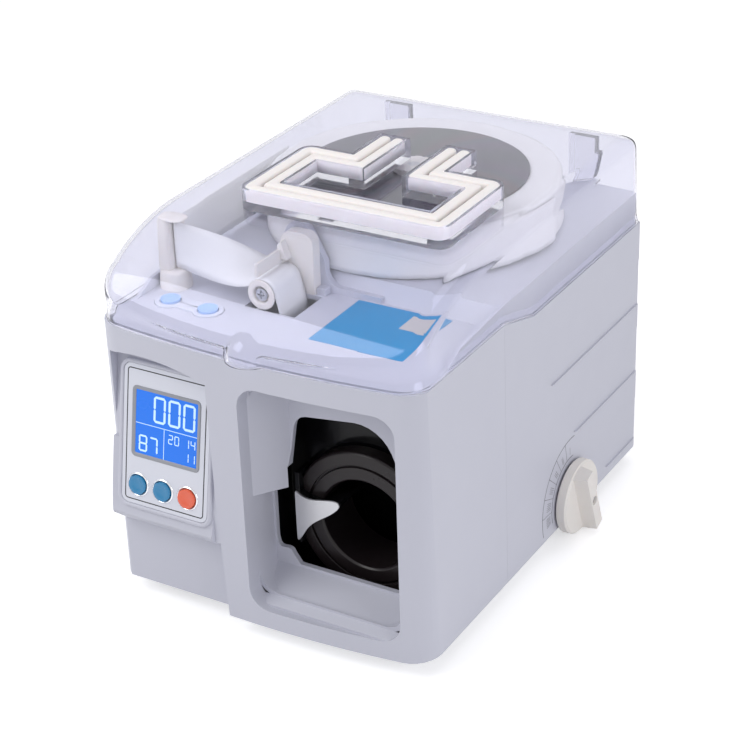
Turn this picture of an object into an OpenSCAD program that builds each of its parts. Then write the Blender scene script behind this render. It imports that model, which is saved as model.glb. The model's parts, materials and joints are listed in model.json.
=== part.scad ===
// Counter-top banknote strapping machine.
// Millimetres.  X runs to the machine's right, Y to its rear, Z up.
// Every module is drawn in the machine's own frame: X = 0 in the middle of the
// housing, Y = 0 at its front corners, Z = 0 at its underside.  on_feet() moves
// it so that the origin is the middle of the footprint, on the table.

/* [Housing] */
// Width of the housing across its side walls
body_w = 183; // [176:1:225]
// Depth of the housing from its front corners to its rear wall
body_d = 246; // [238:1:300]
// Height of the front seam between housing and cover
seam_h = 146; // [142:1:180]
// Drop of the seam behind its step
seam_drop = 9; // [6:0.5:12]
// Wall of the moulded shells
shell_wall = 2.6; // [2:0.1:3.2]
// Radius of the upright front corners
corner_r = 16; // [10:1:20]
// Radius of the upright rear corners
rear_r = 7; // [5:0.5:10]
// Forward bow of the front face, seen from above
bow = 7.5; // [3:0.5:10]
// How far each side leans in between underside and seam
side_lean = 1.5; // [0.5:0.25:3]
// Joint between front shell and rear shell, behind the front corners
split_y = 83; // [78:1:90]
// Length of the sloping step in the seam
step_run = 32; // [20:1:40]
// Height of the rubber feet
foot_h = 10; // [9.5:0.5:14]

/* [Note mouth] */
// Width of the mouth in the front face
mouth_w = 82.5; // [76:0.5:84]
// Height of the mouth
mouth_h = 123.5; // [118:0.5:124]
// Sill height under the mouth
mouth_sill = 10; // [8:0.5:12]
// Wall left between the mouth and the right side
mouth_margin = 14; // [13:0.5:18]
// Depth of the funnel behind the front corners
funnel_depth = 20.5; // [18:0.5:21]

/* [Console] */
// Width of the control plate
panel_w = 51.5; // [48:0.5:53]
// Length of the control plate along its slope
panel_len = 73.5; // [70:0.5:74]
// Backward tilt of the control plate
panel_tilt = 10.5; // [8:0.5:12]
// Left edge of the control plate, from the left side
panel_margin = 13.2; // [12:0.2:16]
// Height of the lip under the control plate
lip_h = 44; // [40:1:48]
// How far the lip stands in front of the front corners
lip_out = 9.6; // [8:0.2:10.5]
// Radius of the push buttons
button_r = 5; // [4.5:0.1:5.4]
// Travel of the push buttons
button_travel = 0.8; // [0.5:0.1:0.8]

/* [Cover] */
// Rise of the cover's roof over the front seam
cover_rise = 42.5; // [38:0.5:55]
// Wall of the clear cover
cover_wall = 2; // [1.6:0.1:2.6]
// Run of the curved front of the cover
cover_nose = 73; // [60:1:80]
// Radius of the hinge barrels
barrel_r = 4; // [3.6:0.2:5]
// Radius of the hinge pins
hinge_pin_r = 2; // [1.5:0.1:2.4]
// Distance of each hinge from the middle
hinge_x = 57; // [50:1:62]

/* [Bundle rest] */
// Width of the rest on the cover
rest_w = 116; // [110:1:122]
// Depth of the rest without its prongs
rest_d = 65; // [60:1:70]
// Height of the rest over the roof
rest_h = 11; // [9:0.5:13]
// Length of the two rear prongs
prong_len = 30; // [24:1:32]

/* [Tape] */
// Outer radius of a full tape roll
roll_r = 76.5; // [70:0.5:79]
// Room between the roll and the outside of the rear wall
roll_room = 10.7; // [9:0.1:14]
// Width of the tape
tape_w = 24.6; // [20:0.2:24.8]
// Radius of the hold-down disc
disc_r = 60; // [55:1:62]
// Radius of the roll's core
core_r = 30; // [26:1:34]
// Radius of the guide roller's flange
guide_r = 7.8; // [7:0.1:8]

/* [Wrapping ring] */
// Outer radius of the wrapping ring
ring_r = 40; // [38:0.5:40]
// Radius of the ring's open bore
ring_bore_r = 24.3; // [22:0.1:25]
// Module of the ring drive's teeth
tooth_m = 1.25; // [1.25:0.05:1.25]
// Teeth of the ring gear
ring_teeth = 64; // [64:4:64]
// Teeth of the motor pinion
pinion_teeth = 16; // [16:4:16]

/* [Setting knob] */
// Radius of the setting knob
knob_r = 20.5; // [18:0.5:20.5]
// Depth of the knob's disc
knob_disc = 6; // [5:0.5:7]
// Height of the grip bar on the disc
knob_bar = 7.4; // [5:0.2:9]
// Distance of the knob's axis from the front corners
knob_y = 157; // [150:1:165]
// Height of the knob's axis over the underside
knob_z = 13; // [12:0.5:15]

/* [Hidden] */
$fn = 48;

shell_c = [0.79, 0.80, 0.83];
cream_c = [0.90, 0.87, 0.84];
clear_c = [0.85, 0.88, 0.92, 0.35];
black_c = [0.07, 0.06, 0.07];
steel_c = [0.70, 0.71, 0.73];
tape_c = [0.93, 0.93, 0.95];

eps = 0.02;          // cuts run past faces by this much
fit_gap = 0.3;       // clearance between separate mouldings
run_gap = 0.05;      // radial clearance of a shaft in its bearing
plate_t = 2;         // sheet steel of the base plate
hw = body_w / 2;

// Shells, seam and deck
seam_rear_h = seam_h - seam_drop;
step_end_y = split_y + step_run;
deck_t = 2.4;
front_deck_z = seam_h;                     // top of the front part of the deck
plateau_z = seam_h + 9;                    // top of the raised part under the roll
plateau_front_y = split_y - 5;
rear_deck_wall = 6;                        // deck edge inside the shells
cover_side_in = 1.1;                       // cover's lean per side up to its roof
roof_z = seam_h + cover_rise;
roof_r = 8;

// Console plane: y of the console's face at a height
function face_y(z) = -lip_out + (z - lip_h) * tan(panel_tilt);
panel_x = -hw + panel_margin + panel_w / 2;
panel_z0 = lip_h + 8;
panel_t = 1.2;
bay_x0 = -hw + 8;
bay_x1 = panel_x + panel_w / 2 + 4;
bay_top_z = panel_z0 + panel_len * cos(panel_tilt) + 10;
lower_face_y = 0.5;

// Mouth and funnel
mouth_x1 = hw - mouth_margin;
mouth_x0 = mouth_x1 - mouth_w;
mouth_z1 = mouth_sill + mouth_h;
back_t = 2.4;
back_y = funnel_depth - back_t;            // front face of the funnel's back wall
ring_x = mouth_x1 - 36;
ring_z = mouth_sill + 40.5;

// Wrapping ring stack, along Y
liner_y0 = funnel_depth + 0.4;
arm_y = funnel_depth + 3.6;
ring_y = arm_y + 4;
ring_t = 8;
liner_y1 = ring_y + ring_t + 3.4;
gear_y = liner_y1 + 1;
gear_t = 5;
housing_y = gear_y + gear_t + 1;
housing_t = 6;
hub_r = 28;
retainer_y = housing_y + housing_t + 0.3;
retainer_t = 2.2;
drum_r = 34;
sweep_r = ring_r + 3.6;
ring_pitch_r = tooth_m * ring_teeth / 2;
pinion_pitch_r = tooth_m * pinion_teeth / 2;
mesh_angle = 123.75;
mesh_gap = 0.2;
pinion_x = ring_x + (ring_pitch_r + pinion_pitch_r + mesh_gap) * cos(mesh_angle);
pinion_z = ring_z + (ring_pitch_r + pinion_pitch_r + mesh_gap) * sin(mesh_angle);
drive_shaft_r = 2.5;
drive_motor_r = 16;
drive_motor_len = 42;

// Tape path
roll_x = -1;
roll_y = body_d - roll_r - roll_room;
platter_t = 1.2;
roll_z0 = plateau_z + 0.3 + platter_t;
roll_z1 = roll_z0 + tape_w;
spindle_r = 6;
web_t = 0.3;
slot_x = mouth_x0 - 7;                     // plane in which the tape goes down
slot_w = 29;
web_w = tape_w - 0.4;
web_y0 = 44;
web_y1 = web_y0 + web_w + 2.2;
guide_x = slot_x - 10.3;
guide_z = front_deck_z + guide_r + 0.7;
guide_barrel = guide_r - 1.4;
post_x = -hw + 14.5;
post_y = 50;
post_r = 8;
bend_r = 2.6;
bend_x = post_x + 3.2;
bend_y = post_y + 2;
screw_in = 6;
screw_r = 1.15;
fin_y = web_y1 + 6.6;
fin_t = 4;

// Feed rollers under the deck
feed_z = front_deck_z - 24;
feed_r = 7;
pinch_r = 6;
feed_x = slot_x + web_t / 2 + fit_gap + feed_r;
pinch_x = slot_x - web_t / 2 - fit_gap - pinch_r;
frame_t = 2;
frame_y0 = web_y0 - 1.5 - frame_t;
frame_y1 = web_y1 + 2.5;
feed_shaft_r = 2;
frame_x0 = pinch_x - pinch_r - 5;
frame_x1 = feed_x + feed_r + 3;
frame_z0 = feed_z - 12;
feed_motor_r = 13;
feed_motor_len = 30;
web_end_z = frame_z0 + 3.2;

// Sealing lever and cutter behind the ring housing
lever_y0 = housing_y + housing_t + 2;
lever_t = 5;
lever_x = mouth_x0 - 20;
lever_z = ring_z + 16;
lever_len = 34;
lever_pin_r = 2;
lever_pin_end = lever_y0 + 26;

// Hinge
hinge_y = body_d + barrel_r + 0.3;
hinge_z = seam_rear_h;
hinge_w = 12;
hinge_ear = 4;
hinge_gap = 0.3;

// Knob
knob_bore_r = 3;
knob_face_x = hw + 0.8;
knob_out = 0.8 + knob_disc + knob_bar;
control_r = 9;

// Rear panel items
inlet_x = -hw + 38;
inlet_z = 30;
switch_x = inlet_x + 34;
// Bundle rest
rest_x = 11.5;
rest_y = 95.5;
rest_wall = 1.6;
prong_gap = 21.4;
prong_x = rest_x - 3;
rest_r = 7;
strip_w = 5.9;
rest_floor = 4;
rest_band = 2 * rest_wall + 2 * strip_w + 2;

// Origin: middle of the footprint of the whole machine
mid_x = knob_out / 2;
tab_r = 13;
front_y = -tab_r;
mid_y = (front_y + hinge_y + barrel_r) / 2;

module on_feet() translate([-mid_x, -mid_y, foot_h]) children();

// Extrusions of a drawing made in the YZ or the XZ plane
module along_x(x0, x1) translate([x0, 0, 0]) rotate([90, 0, 90]) linear_extrude(x1 - x0) children();
module along_y(y0, y1) translate([0, y1, 0]) rotate([90, 0, 0]) linear_extrude(y1 - y0) children();
module along_z(z0, z1) translate([0, 0, z0]) linear_extrude(z1 - z0) children();
module rod_y(x, z, y0, y1, r) translate([x, y1, z]) rotate([90, 0, 0]) cylinder(r = r, h = y1 - y0);
module rod_x(y, z, x0, x1, r) translate([x0, y, z]) rotate([0, 90, 0]) cylinder(r = r, h = x1 - x0);
module block(x0, x1, y0, y1, z0, z1) translate([x0, y0, z0]) cube([x1 - x0, y1 - y0, z1 - z0]);

function arc(cx, cy, r, a0, a1, n) =
    [for (i = [0:n]) [cx + r * cos(a0 + (a1 - a0) * i / n), cy + r * sin(a0 + (a1 - a0) * i / n)]];
function round_rect(x0, y0, x1, y1, r, n = 5) = concat(
    arc(x1 - r, y0 + r, r, -90, 0, n), arc(x1 - r, y1 - r, r, 0, 90, n),
    arc(x0 + r, y1 - r, r, 90, 180, n), arc(x0 + r, y0 + r, r, 180, 270, n));

// Plan of the housing, drawn in by g: bowed front, round front and rear corners
function bow_y(x, g) = -bow * (1 - pow(x / hw, 2)) + g;
bow_a = atan(2 * bow / hw);
function plan(g) = let (
        w = hw - g, r = max(corner_r - g, 1), q = max(rear_r - g, 1),
        fx = w - r + r * sin(bow_a), fy = bow_y(fx, g) + r * cos(bow_a), n = 10)
    concat(
        [for (i = [0:n]) let (x = -fx + 2 * fx * i / n) [x, bow_y(x, g)]],
        arc(w - r, fy, r, -90 + bow_a + 12, 0, 5),
        arc(w - q, body_d - g - q, q, 0, 90, 4),
        arc(-w + q, body_d - g - q, q, 90, 180, 4),
        arc(-w + r, fy, r, 180, 270 - bow_a - 12, 5));

// Block of the housing between two heights, its walls drawn in by g
module housing_form(g, z0, z1) intersection() {
    along_z(z0, z1) polygon(plan(g));
    along_y(-20, body_d + 20) polygon(concat(
        [[-hw + g, z0 - 1], [hw - g, z0 - 1]],
        [[hw - g - side_lean * (z1 + 1) / seam_h, z1 + 1], [-hw + g + side_lean * (z1 + 1) / seam_h, z1 + 1]]));
}
// Everything under the stepped seam
seam_line = [[-40, seam_h], [split_y, seam_h], [step_end_y, seam_rear_h], [body_d + 20, seam_rear_h]];
module under_seam(drop = 0) along_x(-hw - 5, hw + 5)
    polygon(concat([[body_d + 20, -20], [-40, -20]], [for (p = seam_line) [p[0], p[1] - drop]]));

// ---------- base and feet ----------
// Folded steel plate that carries the shells, the ring housing and the boards
module base_plate() on_feet() color(steel_c) difference() {
    union() {
        along_z(0, plate_t) polygon(plan(shell_wall + fit_gap));
        block(inlet_x - 30, ring_x - 30, body_d - shell_wall - 3.4, body_d - shell_wall - 1.9, plate_t, 11);
    }
    for (x = [-1, 1], y = [28, body_d - 28]) translate([x * (hw - 26), y, -1]) cylinder(r = 2, h = 5);
    for (x = [-1, 1], y = [split_y - 12, body_d - 12])
        translate([x * (hw - screw_in), y, -1]) cylinder(r = screw_r + run_gap, h = 5);
    console_space(shell_wall + fit_gap);
    for (i = [0:7]) along_z(-1, plate_t + 1)
        polygon(round_rect(-48 + i * 9, 120, -44 + i * 9, 160, 1.9, 3));
}
// Four screwed rubber feet, with a washer face against the plate
module rubber_feet() on_feet() color([0.15, 0.15, 0.16])
    for (x = [-1, 1], y = [28, body_d - 28]) translate([x * (hw - 26), y, -foot_h]) {
        difference() {
            cylinder(r1 = 8.4, r2 = 10, h = foot_h, $fn = 36);
            translate([0, 0, -1]) cylinder(r = 4, h = 4);
        }
        translate([0, 0, foot_h - eps]) cylinder(r = 1.9, h = plate_t + 2);
    }

// ---------- front shell ----------
// Space in front of the console, grown by g: under the lip, over the sloping face
module console_space(g) intersection() {
    along_x(-hw - 10, hw) polygon([
        [-40, -12], [lower_face_y + g, -12], [lower_face_y + g, lip_h - 9 + g],
        [-lip_out + 1 + g, lip_h - 1 + g / 2], [face_y(lip_h + 1) + g, lip_h + 1],
        [face_y(bay_top_z + g) + g, bay_top_z + g], [-40, bay_top_z + g]]);
    along_y(-40, 60) polygon(concat(
        [[bay_x0 - 14, -12], [bay_x1 + 5 + g, -12], [bay_x1 + 1 + g, lip_h + 20]],
        [[bay_x1 + g, bay_top_z - 14]],
        [for (i = [0:8]) let (t = i / 8)
            [bay_x1 + g - (bay_x1 - bay_x0 + 2 * g) * t, bay_top_z + g - 9 + 9 * sin(180 * (0.16 + 0.62 * t))]],
        [[bay_x0 - g, lip_h + 34], [bay_x0 - 14, lip_h + 6]]));
}
// The lip's own bulge in front of the bowed face
module console_pod(g) intersection() {
    along_x(bay_x0 - 4 + g, bay_x1 + g) polygon([[-lip_out + g, lip_h - 5], [20, lip_h - 14],
        [20, lip_h + 40], [-2, lip_h + 40], [face_y(lip_h) + g, lip_h]]);
    along_z(0, seam_h) polygon(round_rect(bay_x0 - 1.5 + g, -lip_out - 4, bay_x1 - 1 + g, 30, 7));
}
// Funnel behind the mouth, grown by g; its upper left corner keeps a slanted cheek
mouth_r = 11;
module funnel_space(g) difference() {
    union() {
        along_y(-40, 2) polygon(round_rect(mouth_x0 - g, mouth_sill - g, mouth_x1 + g, mouth_z1 + g, mouth_r + g));
        along_y(-2, back_y + g) polygon(round_rect(mouth_x0 - g, mouth_sill + 5 - g, mouth_x1 + g, mouth_z1 - 3 + g,
            mouth_r + g));
    }
    // sill ramp
    along_x(mouth_x0 - g - 1, mouth_x1 + g + 1) polygon([[-3, mouth_sill + 1 - g], [back_y + g + 1, mouth_sill + 13 - g],
        [back_y + g + 1, mouth_sill - 20], [-3, mouth_sill - 20]]);
    // slanted cheek
    along_z(mouth_sill + 59 + g, mouth_z1 + g + 5) polygon([[mouth_x0 - g - 5, 1 + g], [mouth_x0 - g, 1 + g],
        [mouth_x0 + 13 - g, back_y + g + 1], [mouth_x0 - g - 5, back_y + g + 1]]);
}
// Arched opening in the funnel's back wall
arch_x0 = mouth_x0 + 1;
arch_pts = concat(
    arc(ring_x + 4, ring_z + 43, 20, 25, 95, 6),
    arc(arch_x0 + 22, ring_z + 51, 8.5, 100, 175, 4),
    [[arch_x0 + 10, ring_z + 30], [arch_x0, ring_z + 19], [arch_x0, ring_z - 14]],
    arc(arch_x0 + 3, ring_z - 16.5, 2.5, 180, 270, 3),
    arc(arch_x0 + 6, ring_z - 22, 3.4, 80, 10, 3),
    [[arch_x0 + 13, ring_z - 26.5], [mouth_x1 - 2, ring_z - 26.5]],
    arc(mouth_x1 - 22, ring_z + 20, 20, 0, 30, 3));
module front_shell() on_feet() color(shell_c) difference() {
    union() {
        difference() {
            union() {
                intersection() {
                    housing_form(0, 0, seam_h);
                    block(-hw, hw, -20, split_y, -1, seam_h + 1);
                }
                console_pod(0);
            }
            // hollow inside, leaving the walls of console and funnel
            difference() {
                intersection() {
                    housing_form(shell_wall, -1, seam_h + 1);
                    block(-hw, hw, -20, split_y + 1, -2, seam_h + 2);
                }
                console_space(shell_wall);
                funnel_space(shell_wall);
            }
        }
        // tongue that locates the rear shell
        intersection() {
            difference() {
                housing_form(shell_wall, 4, seam_h - 6);
                housing_form(shell_wall + 1.6, 3, seam_h - 5);
            }
            block(-hw, hw, split_y - 6, split_y + 4, 6, seam_rear_h - 9);
        }
        // screw bosses to the base plate
        for (x = [-1, 1]) translate([x * (hw - screw_in), split_y - 12, plate_t + fit_gap]) cylinder(r = 4, h = 14);
    }
    console_space(0);
    funnel_space(0);
    along_y(back_y - 2, funnel_depth + 5) polygon(arch_pts);
    // window and buttons through the console
    console_cut(lcd_w + 1, lcd_len + 1, lcd_s);
    for (x = button_xs) on_console(x, button_s) translate([0, 0, -8]) cylinder(r = button_r - 1, h = 20);
    for (x = [-1, 1]) translate([x * (hw - screw_in), split_y - 12, plate_t]) cylinder(r = screw_r + run_gap, h = 12);
    // room for the board behind the face
    on_console(panel_x, 0) translate([-panel_w / 2 + 4, 3.5, -14])
        cube([panel_w - 6.5, panel_len - 10, 14 - shell_wall]);
    // seat of the plate
    translate([panel_x, face_y(panel_z0), panel_z0]) rotate([-panel_tilt, 0, 0]) along_y(-6, 0)
        polygon(round_rect(-panel_w / 2 - 0.2, -0.2, panel_w / 2 + 0.2, panel_len + 0.2, 4.2));
}
// Console coordinates: s runs up the slope from the plate's lower edge, z out of it
module on_console(x, s) translate([x, face_y(panel_z0), panel_z0]) rotate([-panel_tilt, 0, 0])
    translate([0, 0, s]) rotate([90, 0, 0]) children();
module console_cut(w, l, s) on_console(panel_x, s) translate([-w / 2, -l / 2, -12]) cube([w, l, 24]);
lcd_w = 38;
lcd_len = 34.5;
lcd_s = 44;
button_s = 10.8;
button_xs = [panel_x - 15.6, panel_x - 0.8, panel_x + 14];

// ---------- rear shell ----------
vent_n = 9;
module side_panel(y0, z0, z1, depth) {
    r = 6;
    for (m = [0, 1]) mirror([m, 0, 0]) translate([hw - depth - side_lean * z1 / seam_h, 0, 0])
        along_x(0, 6) polygon(concat([[body_d + 5, z0]], [[body_d + 5, z1], [y0 + 2, z1]],
            arc(y0 + r, z0 + r, r, 180, 270, 5)));
}
module rear_shell() on_feet() color(shell_c) difference() {
    union() {
        intersection() {
            difference() {
                housing_form(0, 0, seam_h);
                housing_form(shell_wall, -1, seam_h + 1);
            }
            block(-hw - 1, hw + 1, split_y + fit_gap / 3, body_d + 5, -1, seam_h + 1);
            under_seam();
        }
        // hinge ears on the rear wall
        for (s = [-1, 1], d = [-1, 1]) {
            x = s * hinge_x + d * (hinge_w / 2 + hinge_gap + hinge_ear / 2) - hinge_ear / 2;
            rod_x(hinge_y, hinge_z, x, x + hinge_ear, barrel_r);
            block(x, x + hinge_ear, body_d - 1, hinge_y, hinge_z - barrel_r, hinge_z - 0.3);
        }
        // bosses for the base screws
        for (x = [-1, 1]) translate([x * (hw - screw_in), body_d - 12, plate_t + fit_gap]) cylinder(r = 4, h = 14);
        // pad behind the setting knob
        rod_x(knob_y, knob_z, hw - shell_wall - 1.4, hw - 0.9, 10);
    }
    for (s = [-1, 1]) rod_x(hinge_y, hinge_z, s * hinge_x - 20, s * hinge_x + 20, hinge_pin_r + 0.02);
    side_panel(split_y + 48, 88.5, 115.5, 0.7);
    side_panel(split_y + 76, 47.5, 75, 0.7);
    side_panel(split_y + 117, 5, 31, 0.7);
    for (i = [0:vent_n - 1]) along_y(body_d - 6, body_d + 1)
        polygon(round_rect(ring_x - 12 + i * 6.5, 66, ring_x - 9 + i * 6.5, 106, 1.4, 3));
    block(inlet_x - 13.6, inlet_x + 13.6, body_d - 6, body_d + 1, inlet_z - 10, inlet_z + 10);
    block(switch_x - 9.6, switch_x + 9.6, body_d - 6, body_d + 1, inlet_z - 6.6, inlet_z + 6.6);
    rod_x(knob_y, knob_z, hw - 10, hw + 2, knob_bore_r + 0.4);
    for (x = [-1, 1]) translate([x * (hw - screw_in), body_d - 12, plate_t]) cylinder(r = screw_r + run_gap, h = 12);
    // room for the front shell's tongue
    intersection() {
        housing_form(shell_wall - 0.4, 2, seam_h + 1);
        block(-hw, hw, split_y, split_y + 5, 3, seam_h - 9);
    }
}

// ---------- top deck ----------
// Tray that closes the housing: low front part, raised part under the roll
deck_lip = 1.2;
deck_in = 4.2;
module deck_section(t) polygon([[-20, front_deck_z], [plateau_front_y, front_deck_z],
    [plateau_front_y + 6, plateau_z], [body_d, plateau_z], [body_d, plateau_z - t],
    [plateau_front_y + 6.8, plateau_z - t], [plateau_front_y + 0.8, front_deck_z - t], [-20, front_deck_z - t]]);
fin_top_z = roll_z1 - 1;
fin_pts = concat([[guide_x - 11, front_deck_z - 0.5]], [[guide_x - 7, fin_top_z - 9]],
    arc(guide_x + 2, fin_top_z - 8.5, 8.5, 165, 30, 8), [[slot_x + 6.5, front_deck_z + 16]],
    arc(slot_x + 14.5, front_deck_z + 11.5, 8, 185, 265, 5),
    [[slot_x + 38, front_deck_z + 3], [slot_x + 38, front_deck_z - 0.5]]);
module top_deck() on_feet() color(shell_c) difference() {
    union() {
        intersection() {
            along_x(-hw, hw) deck_section(deck_t);
            along_z(0, 300) polygon(plan(deck_in));
        }
        // edge wall of the raised part, down inside the rear shell
        intersection() {
            difference() {
                along_z(seam_rear_h - 8, plateau_z) polygon(plan(deck_in));
                along_z(seam_rear_h - 9, plateau_z + 1) polygon(plan(deck_in + 2));
            }
            along_x(-hw, hw) polygon([[-20, front_deck_z - 6], [plateau_front_y, front_deck_z - 6],
                [plateau_front_y + 4, seam_rear_h - 8], [body_d, seam_rear_h - 8], [body_d, plateau_z],
                [plateau_front_y + 6, plateau_z], [plateau_front_y, front_deck_z], [-20, front_deck_z]]);
        }
        // raised curb along the front part
        intersection() {
            difference() {
                along_z(front_deck_z - 1, plateau_z) polygon(plan(deck_in));
                along_z(front_deck_z - 2, plateau_z + 1) polygon(plan(deck_in + 2));
            }
            along_x(-hw, hw) polygon([[26, front_deck_z - 1], [42, plateau_z - 3], [plateau_front_y + 7, plateau_z],
                [plateau_front_y + 7, front_deck_z - 1]]);
        }
        // upright fin that carries the guide, with its low foot
        along_y(fin_y, fin_y + fin_t) polygon(fin_pts);
        block(slot_x + 4, slot_x + 9, fin_y - 5, fin_y + 1, front_deck_z - 0.5, front_deck_z + 3.6);
        // collar of the roll spindle
        translate([roll_x, roll_y, plateau_z - 12]) cylinder(r = spindle_r + 5, h = 11);
        // fixing pads on the rear shell
        for (s = [-1, 1]) block(s * (hw - 20) - 8, s * (hw - 20) + 8, body_d - deck_in - 8, body_d - deck_in - 1,
            seam_rear_h - 12, plateau_z - 1);
    }
    // slot for the tape
    block(slot_x - slot_w + 8, slot_x + 8, web_y0 + 1.2, web_y1 + 0.2, front_deck_z - 8, front_deck_z + 0.1);
    // seat of the key pad and of the keys
    key_pad_form(0.25, -deck_t - 2, 0);
    translate([roll_x, roll_y, plateau_z - 20]) cylinder(r = spindle_r, h = 30);
    translate([post_x, post_y, front_deck_z - 10]) cylinder(r = 2.2, h = 12);
}

// ---------- cover ----------
// Side view of the cover, drawn in by g
function nose(g) = [for (i = [0:12]) let (a = 90 * i / 12)
    [cover_nose - 8 - (cover_nose + 2 - g) * cos(a), seam_h + (cover_rise - g) * pow(sin(a), 1.2)]];
function cover_side(g) = concat(
    [[split_y, seam_h - g * 40], [-30, seam_h - g * 40]], [[-30, seam_h + 1]],
    nose(g),
    arc(body_d - 13 - g, roof_z - 9, 9 - g, 90, 20, 4),
    [[body_d - g, seam_rear_h + 12], [body_d - g, seam_rear_h - g * 40], [step_end_y, seam_rear_h - g * 40]]);
function cover_front(g) = concat(
    [[-hw + g, seam_rear_h - 60], [hw - g, seam_rear_h - 60], [hw - g - side_lean, seam_h]],
    arc(hw - g - side_lean - cover_side_in - (roof_r - g), roof_z - roof_r, roof_r - g, 0, 90, 5),
    arc(-hw + g + side_lean + cover_side_in + (roof_r - g), roof_z - roof_r, roof_r - g, 90, 180, 5),
    [[-hw + g + side_lean, seam_h]]);
module cover_form(g) intersection() {
    along_x(-hw - 1, hw + 1) polygon(cover_side(g));
    along_y(-40, body_d + 5) polygon(cover_front(g));
    along_z(60, roof_z + 5) polygon(plan(g));
}
cover_gap = 0.4;
module above_seam() along_x(-hw - 5, hw + 5)
    polygon(concat([for (p = seam_line) [p[0], p[1] + cover_gap]], [[body_d + 20, 400], [-40, 400]]));
module clear_cover() on_feet() color(clear_c) difference() {
    union() {
        intersection() {
            above_seam();
            difference() {
                union() {
                    cover_form(0);
                    // stepped rim along the seam
                    intersection() {
                        along_z(60, seam_h + 3.2) polygon(plan(-0.1));
                        along_x(-hw - 5, hw + 5) polygon([for (p = concat(seam_line,
                            [[body_d + 20, seam_rear_h + 3.2], [step_end_y, seam_rear_h + 3.2],
                            [split_y, seam_h + 3.2], [-40, seam_h + 3.2]])) p]);
                        along_y(-40, body_d + 5) polygon(cover_front(0));
                    }
                    // finger tab
                    translate([0, 0, seam_h + 2]) sphere(r = tab_r);
                }
                difference() {
                    union() {
                        cover_form(cover_wall);
                        translate([0, 0, seam_h + 2]) sphere(r = tab_r - cover_wall);
                    }
                    // stiffening lugs at the hinges, stepped in depth
                    for (s = [-1, 1]) {
                        block(s * hinge_x - 8, s * hinge_x + 8, body_d - 6.5, body_d, plateau_z + 1, roof_z);
                        block(s * hinge_x - 4, s * hinge_x + 8, body_d - 8.5, body_d, plateau_z + 6, roof_z);
                    }
                }
            }
        }
        // hinge barrels
        for (s = [-1, 1]) {
            rod_x(hinge_y, hinge_z, s * hinge_x - hinge_w / 2, s * hinge_x + hinge_w / 2, barrel_r);
            block(s * hinge_x - hinge_w / 2, s * hinge_x + hinge_w / 2, body_d - cover_wall, hinge_y,
                hinge_z + 0.6, hinge_z + barrel_r);
        }
    }
    for (s = [-1, 1]) rod_x(hinge_y, hinge_z, s * hinge_x - 20, s * hinge_x + 20, hinge_pin_r + run_gap);
}
// Two steel hinge pins, held in the ears of the rear shell
module hinge_pins() on_feet() color(steel_c) for (s = [-1, 1])
    rod_x(hinge_y, hinge_z, s * hinge_x - hinge_w / 2 - hinge_ear, s * hinge_x + hinge_w / 2 + hinge_ear, hinge_pin_r);

// ---------- bundle rest on the cover ----------
// Path round the rest at a distance d inside its outer edge, from prong end to prong end
function rest_path(d, e) = let (
        x0 = rest_x - rest_w / 2 + d, x1 = rest_x + rest_w / 2 - d,
        y0 = rest_y - rest_d / 2 + d, y1 = rest_y + rest_d / 2 - d,
        a = prong_x - prong_gap / 2 - rest_band + d, b = prong_x + prong_gap / 2 + rest_band - d,
        yp = rest_y + rest_d / 2 + prong_len - e, r = max(rest_r - d, 0.8))
    concat([[a, yp], [a, y1]], arc(x0 + r, y1 - r, r, 90, 180, 4), arc(x0 + r, y0 + r, r, 180, 270, 4),
        arc(x1 - r, y0 + r, r, 270, 360, 4), arc(x1 - r, y1 - r, r, 0, 90, 4), [[b, y1], [b, yp]]);
function backwards(p) = [for (i = [len(p) - 1:-1:0]) p[i]];
function rest_ring(d0, d1, e) = concat(rest_path(d0, e), backwards(rest_path(d1, e)));
// Clear channel, open on top
module bundle_rest() on_feet() color(clear_c) difference() {
    along_z(roof_z, roof_z + rest_h) polygon(rest_ring(0, rest_band, 0));
    along_z(roof_z + rest_floor, roof_z + rest_h + 1) polygon(rest_ring(rest_wall, rest_band - rest_wall, rest_wall));
}
// One raised strip, its upper edges eased in two steps
module rest_strip(d) on_feet() color(cream_c) {
    z = roof_z + rest_floor;
    h = rest_h - rest_floor + 0.4;
    along_z(z, z + h - 1.2) polygon(rest_ring(d, d + strip_w, rest_wall + 0.2));
    along_z(z + h - 1.3, z + h - 0.4) polygon(rest_ring(d + 0.45, d + strip_w - 0.45, rest_wall + 0.65));
    along_z(z + h - 0.5, z + h) polygon(rest_ring(d + 1.2, d + strip_w - 1.2, rest_wall + 1.4));
}
module rest_strip_outer() rest_strip(rest_wall + 0.1);
module rest_strip_inner() rest_strip(rest_band - rest_wall - 0.1 - strip_w);

// ---------- console pieces ----------
module panel_plate() on_feet() color([0.72, 0.75, 0.80]) difference() {
    translate([panel_x, face_y(panel_z0), panel_z0]) rotate([-panel_tilt, 0, 0]) along_y(-panel_t, 0)
        polygon(round_rect(-panel_w / 2, 0, panel_w / 2, panel_len, 4));
    console_cut(lcd_w, lcd_len, lcd_s);
    for (x = button_xs) on_console(x, button_s) translate([0, 0, -3]) cylinder(r = button_r + 0.3, h = 8);
}
module lcd_window() on_feet() color([0.15, 0.35, 0.9]) on_console(panel_x, lcd_s)
    translate([-lcd_w / 2 + 0.2, -lcd_len / 2 + 0.2, -0.6]) cube([lcd_w - 0.4, lcd_len - 0.4, 1.5]);
lcd_back = -0.6;
module lcd_module() on_feet() color([0.2, 0.3, 0.25]) on_console(panel_x, lcd_s)
    translate([-lcd_w / 2 - 0.2, -lcd_len / 2 - 0.2, lcd_back - 8]) cube([lcd_w + 0.4, lcd_len + 0.4, 8]);
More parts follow.
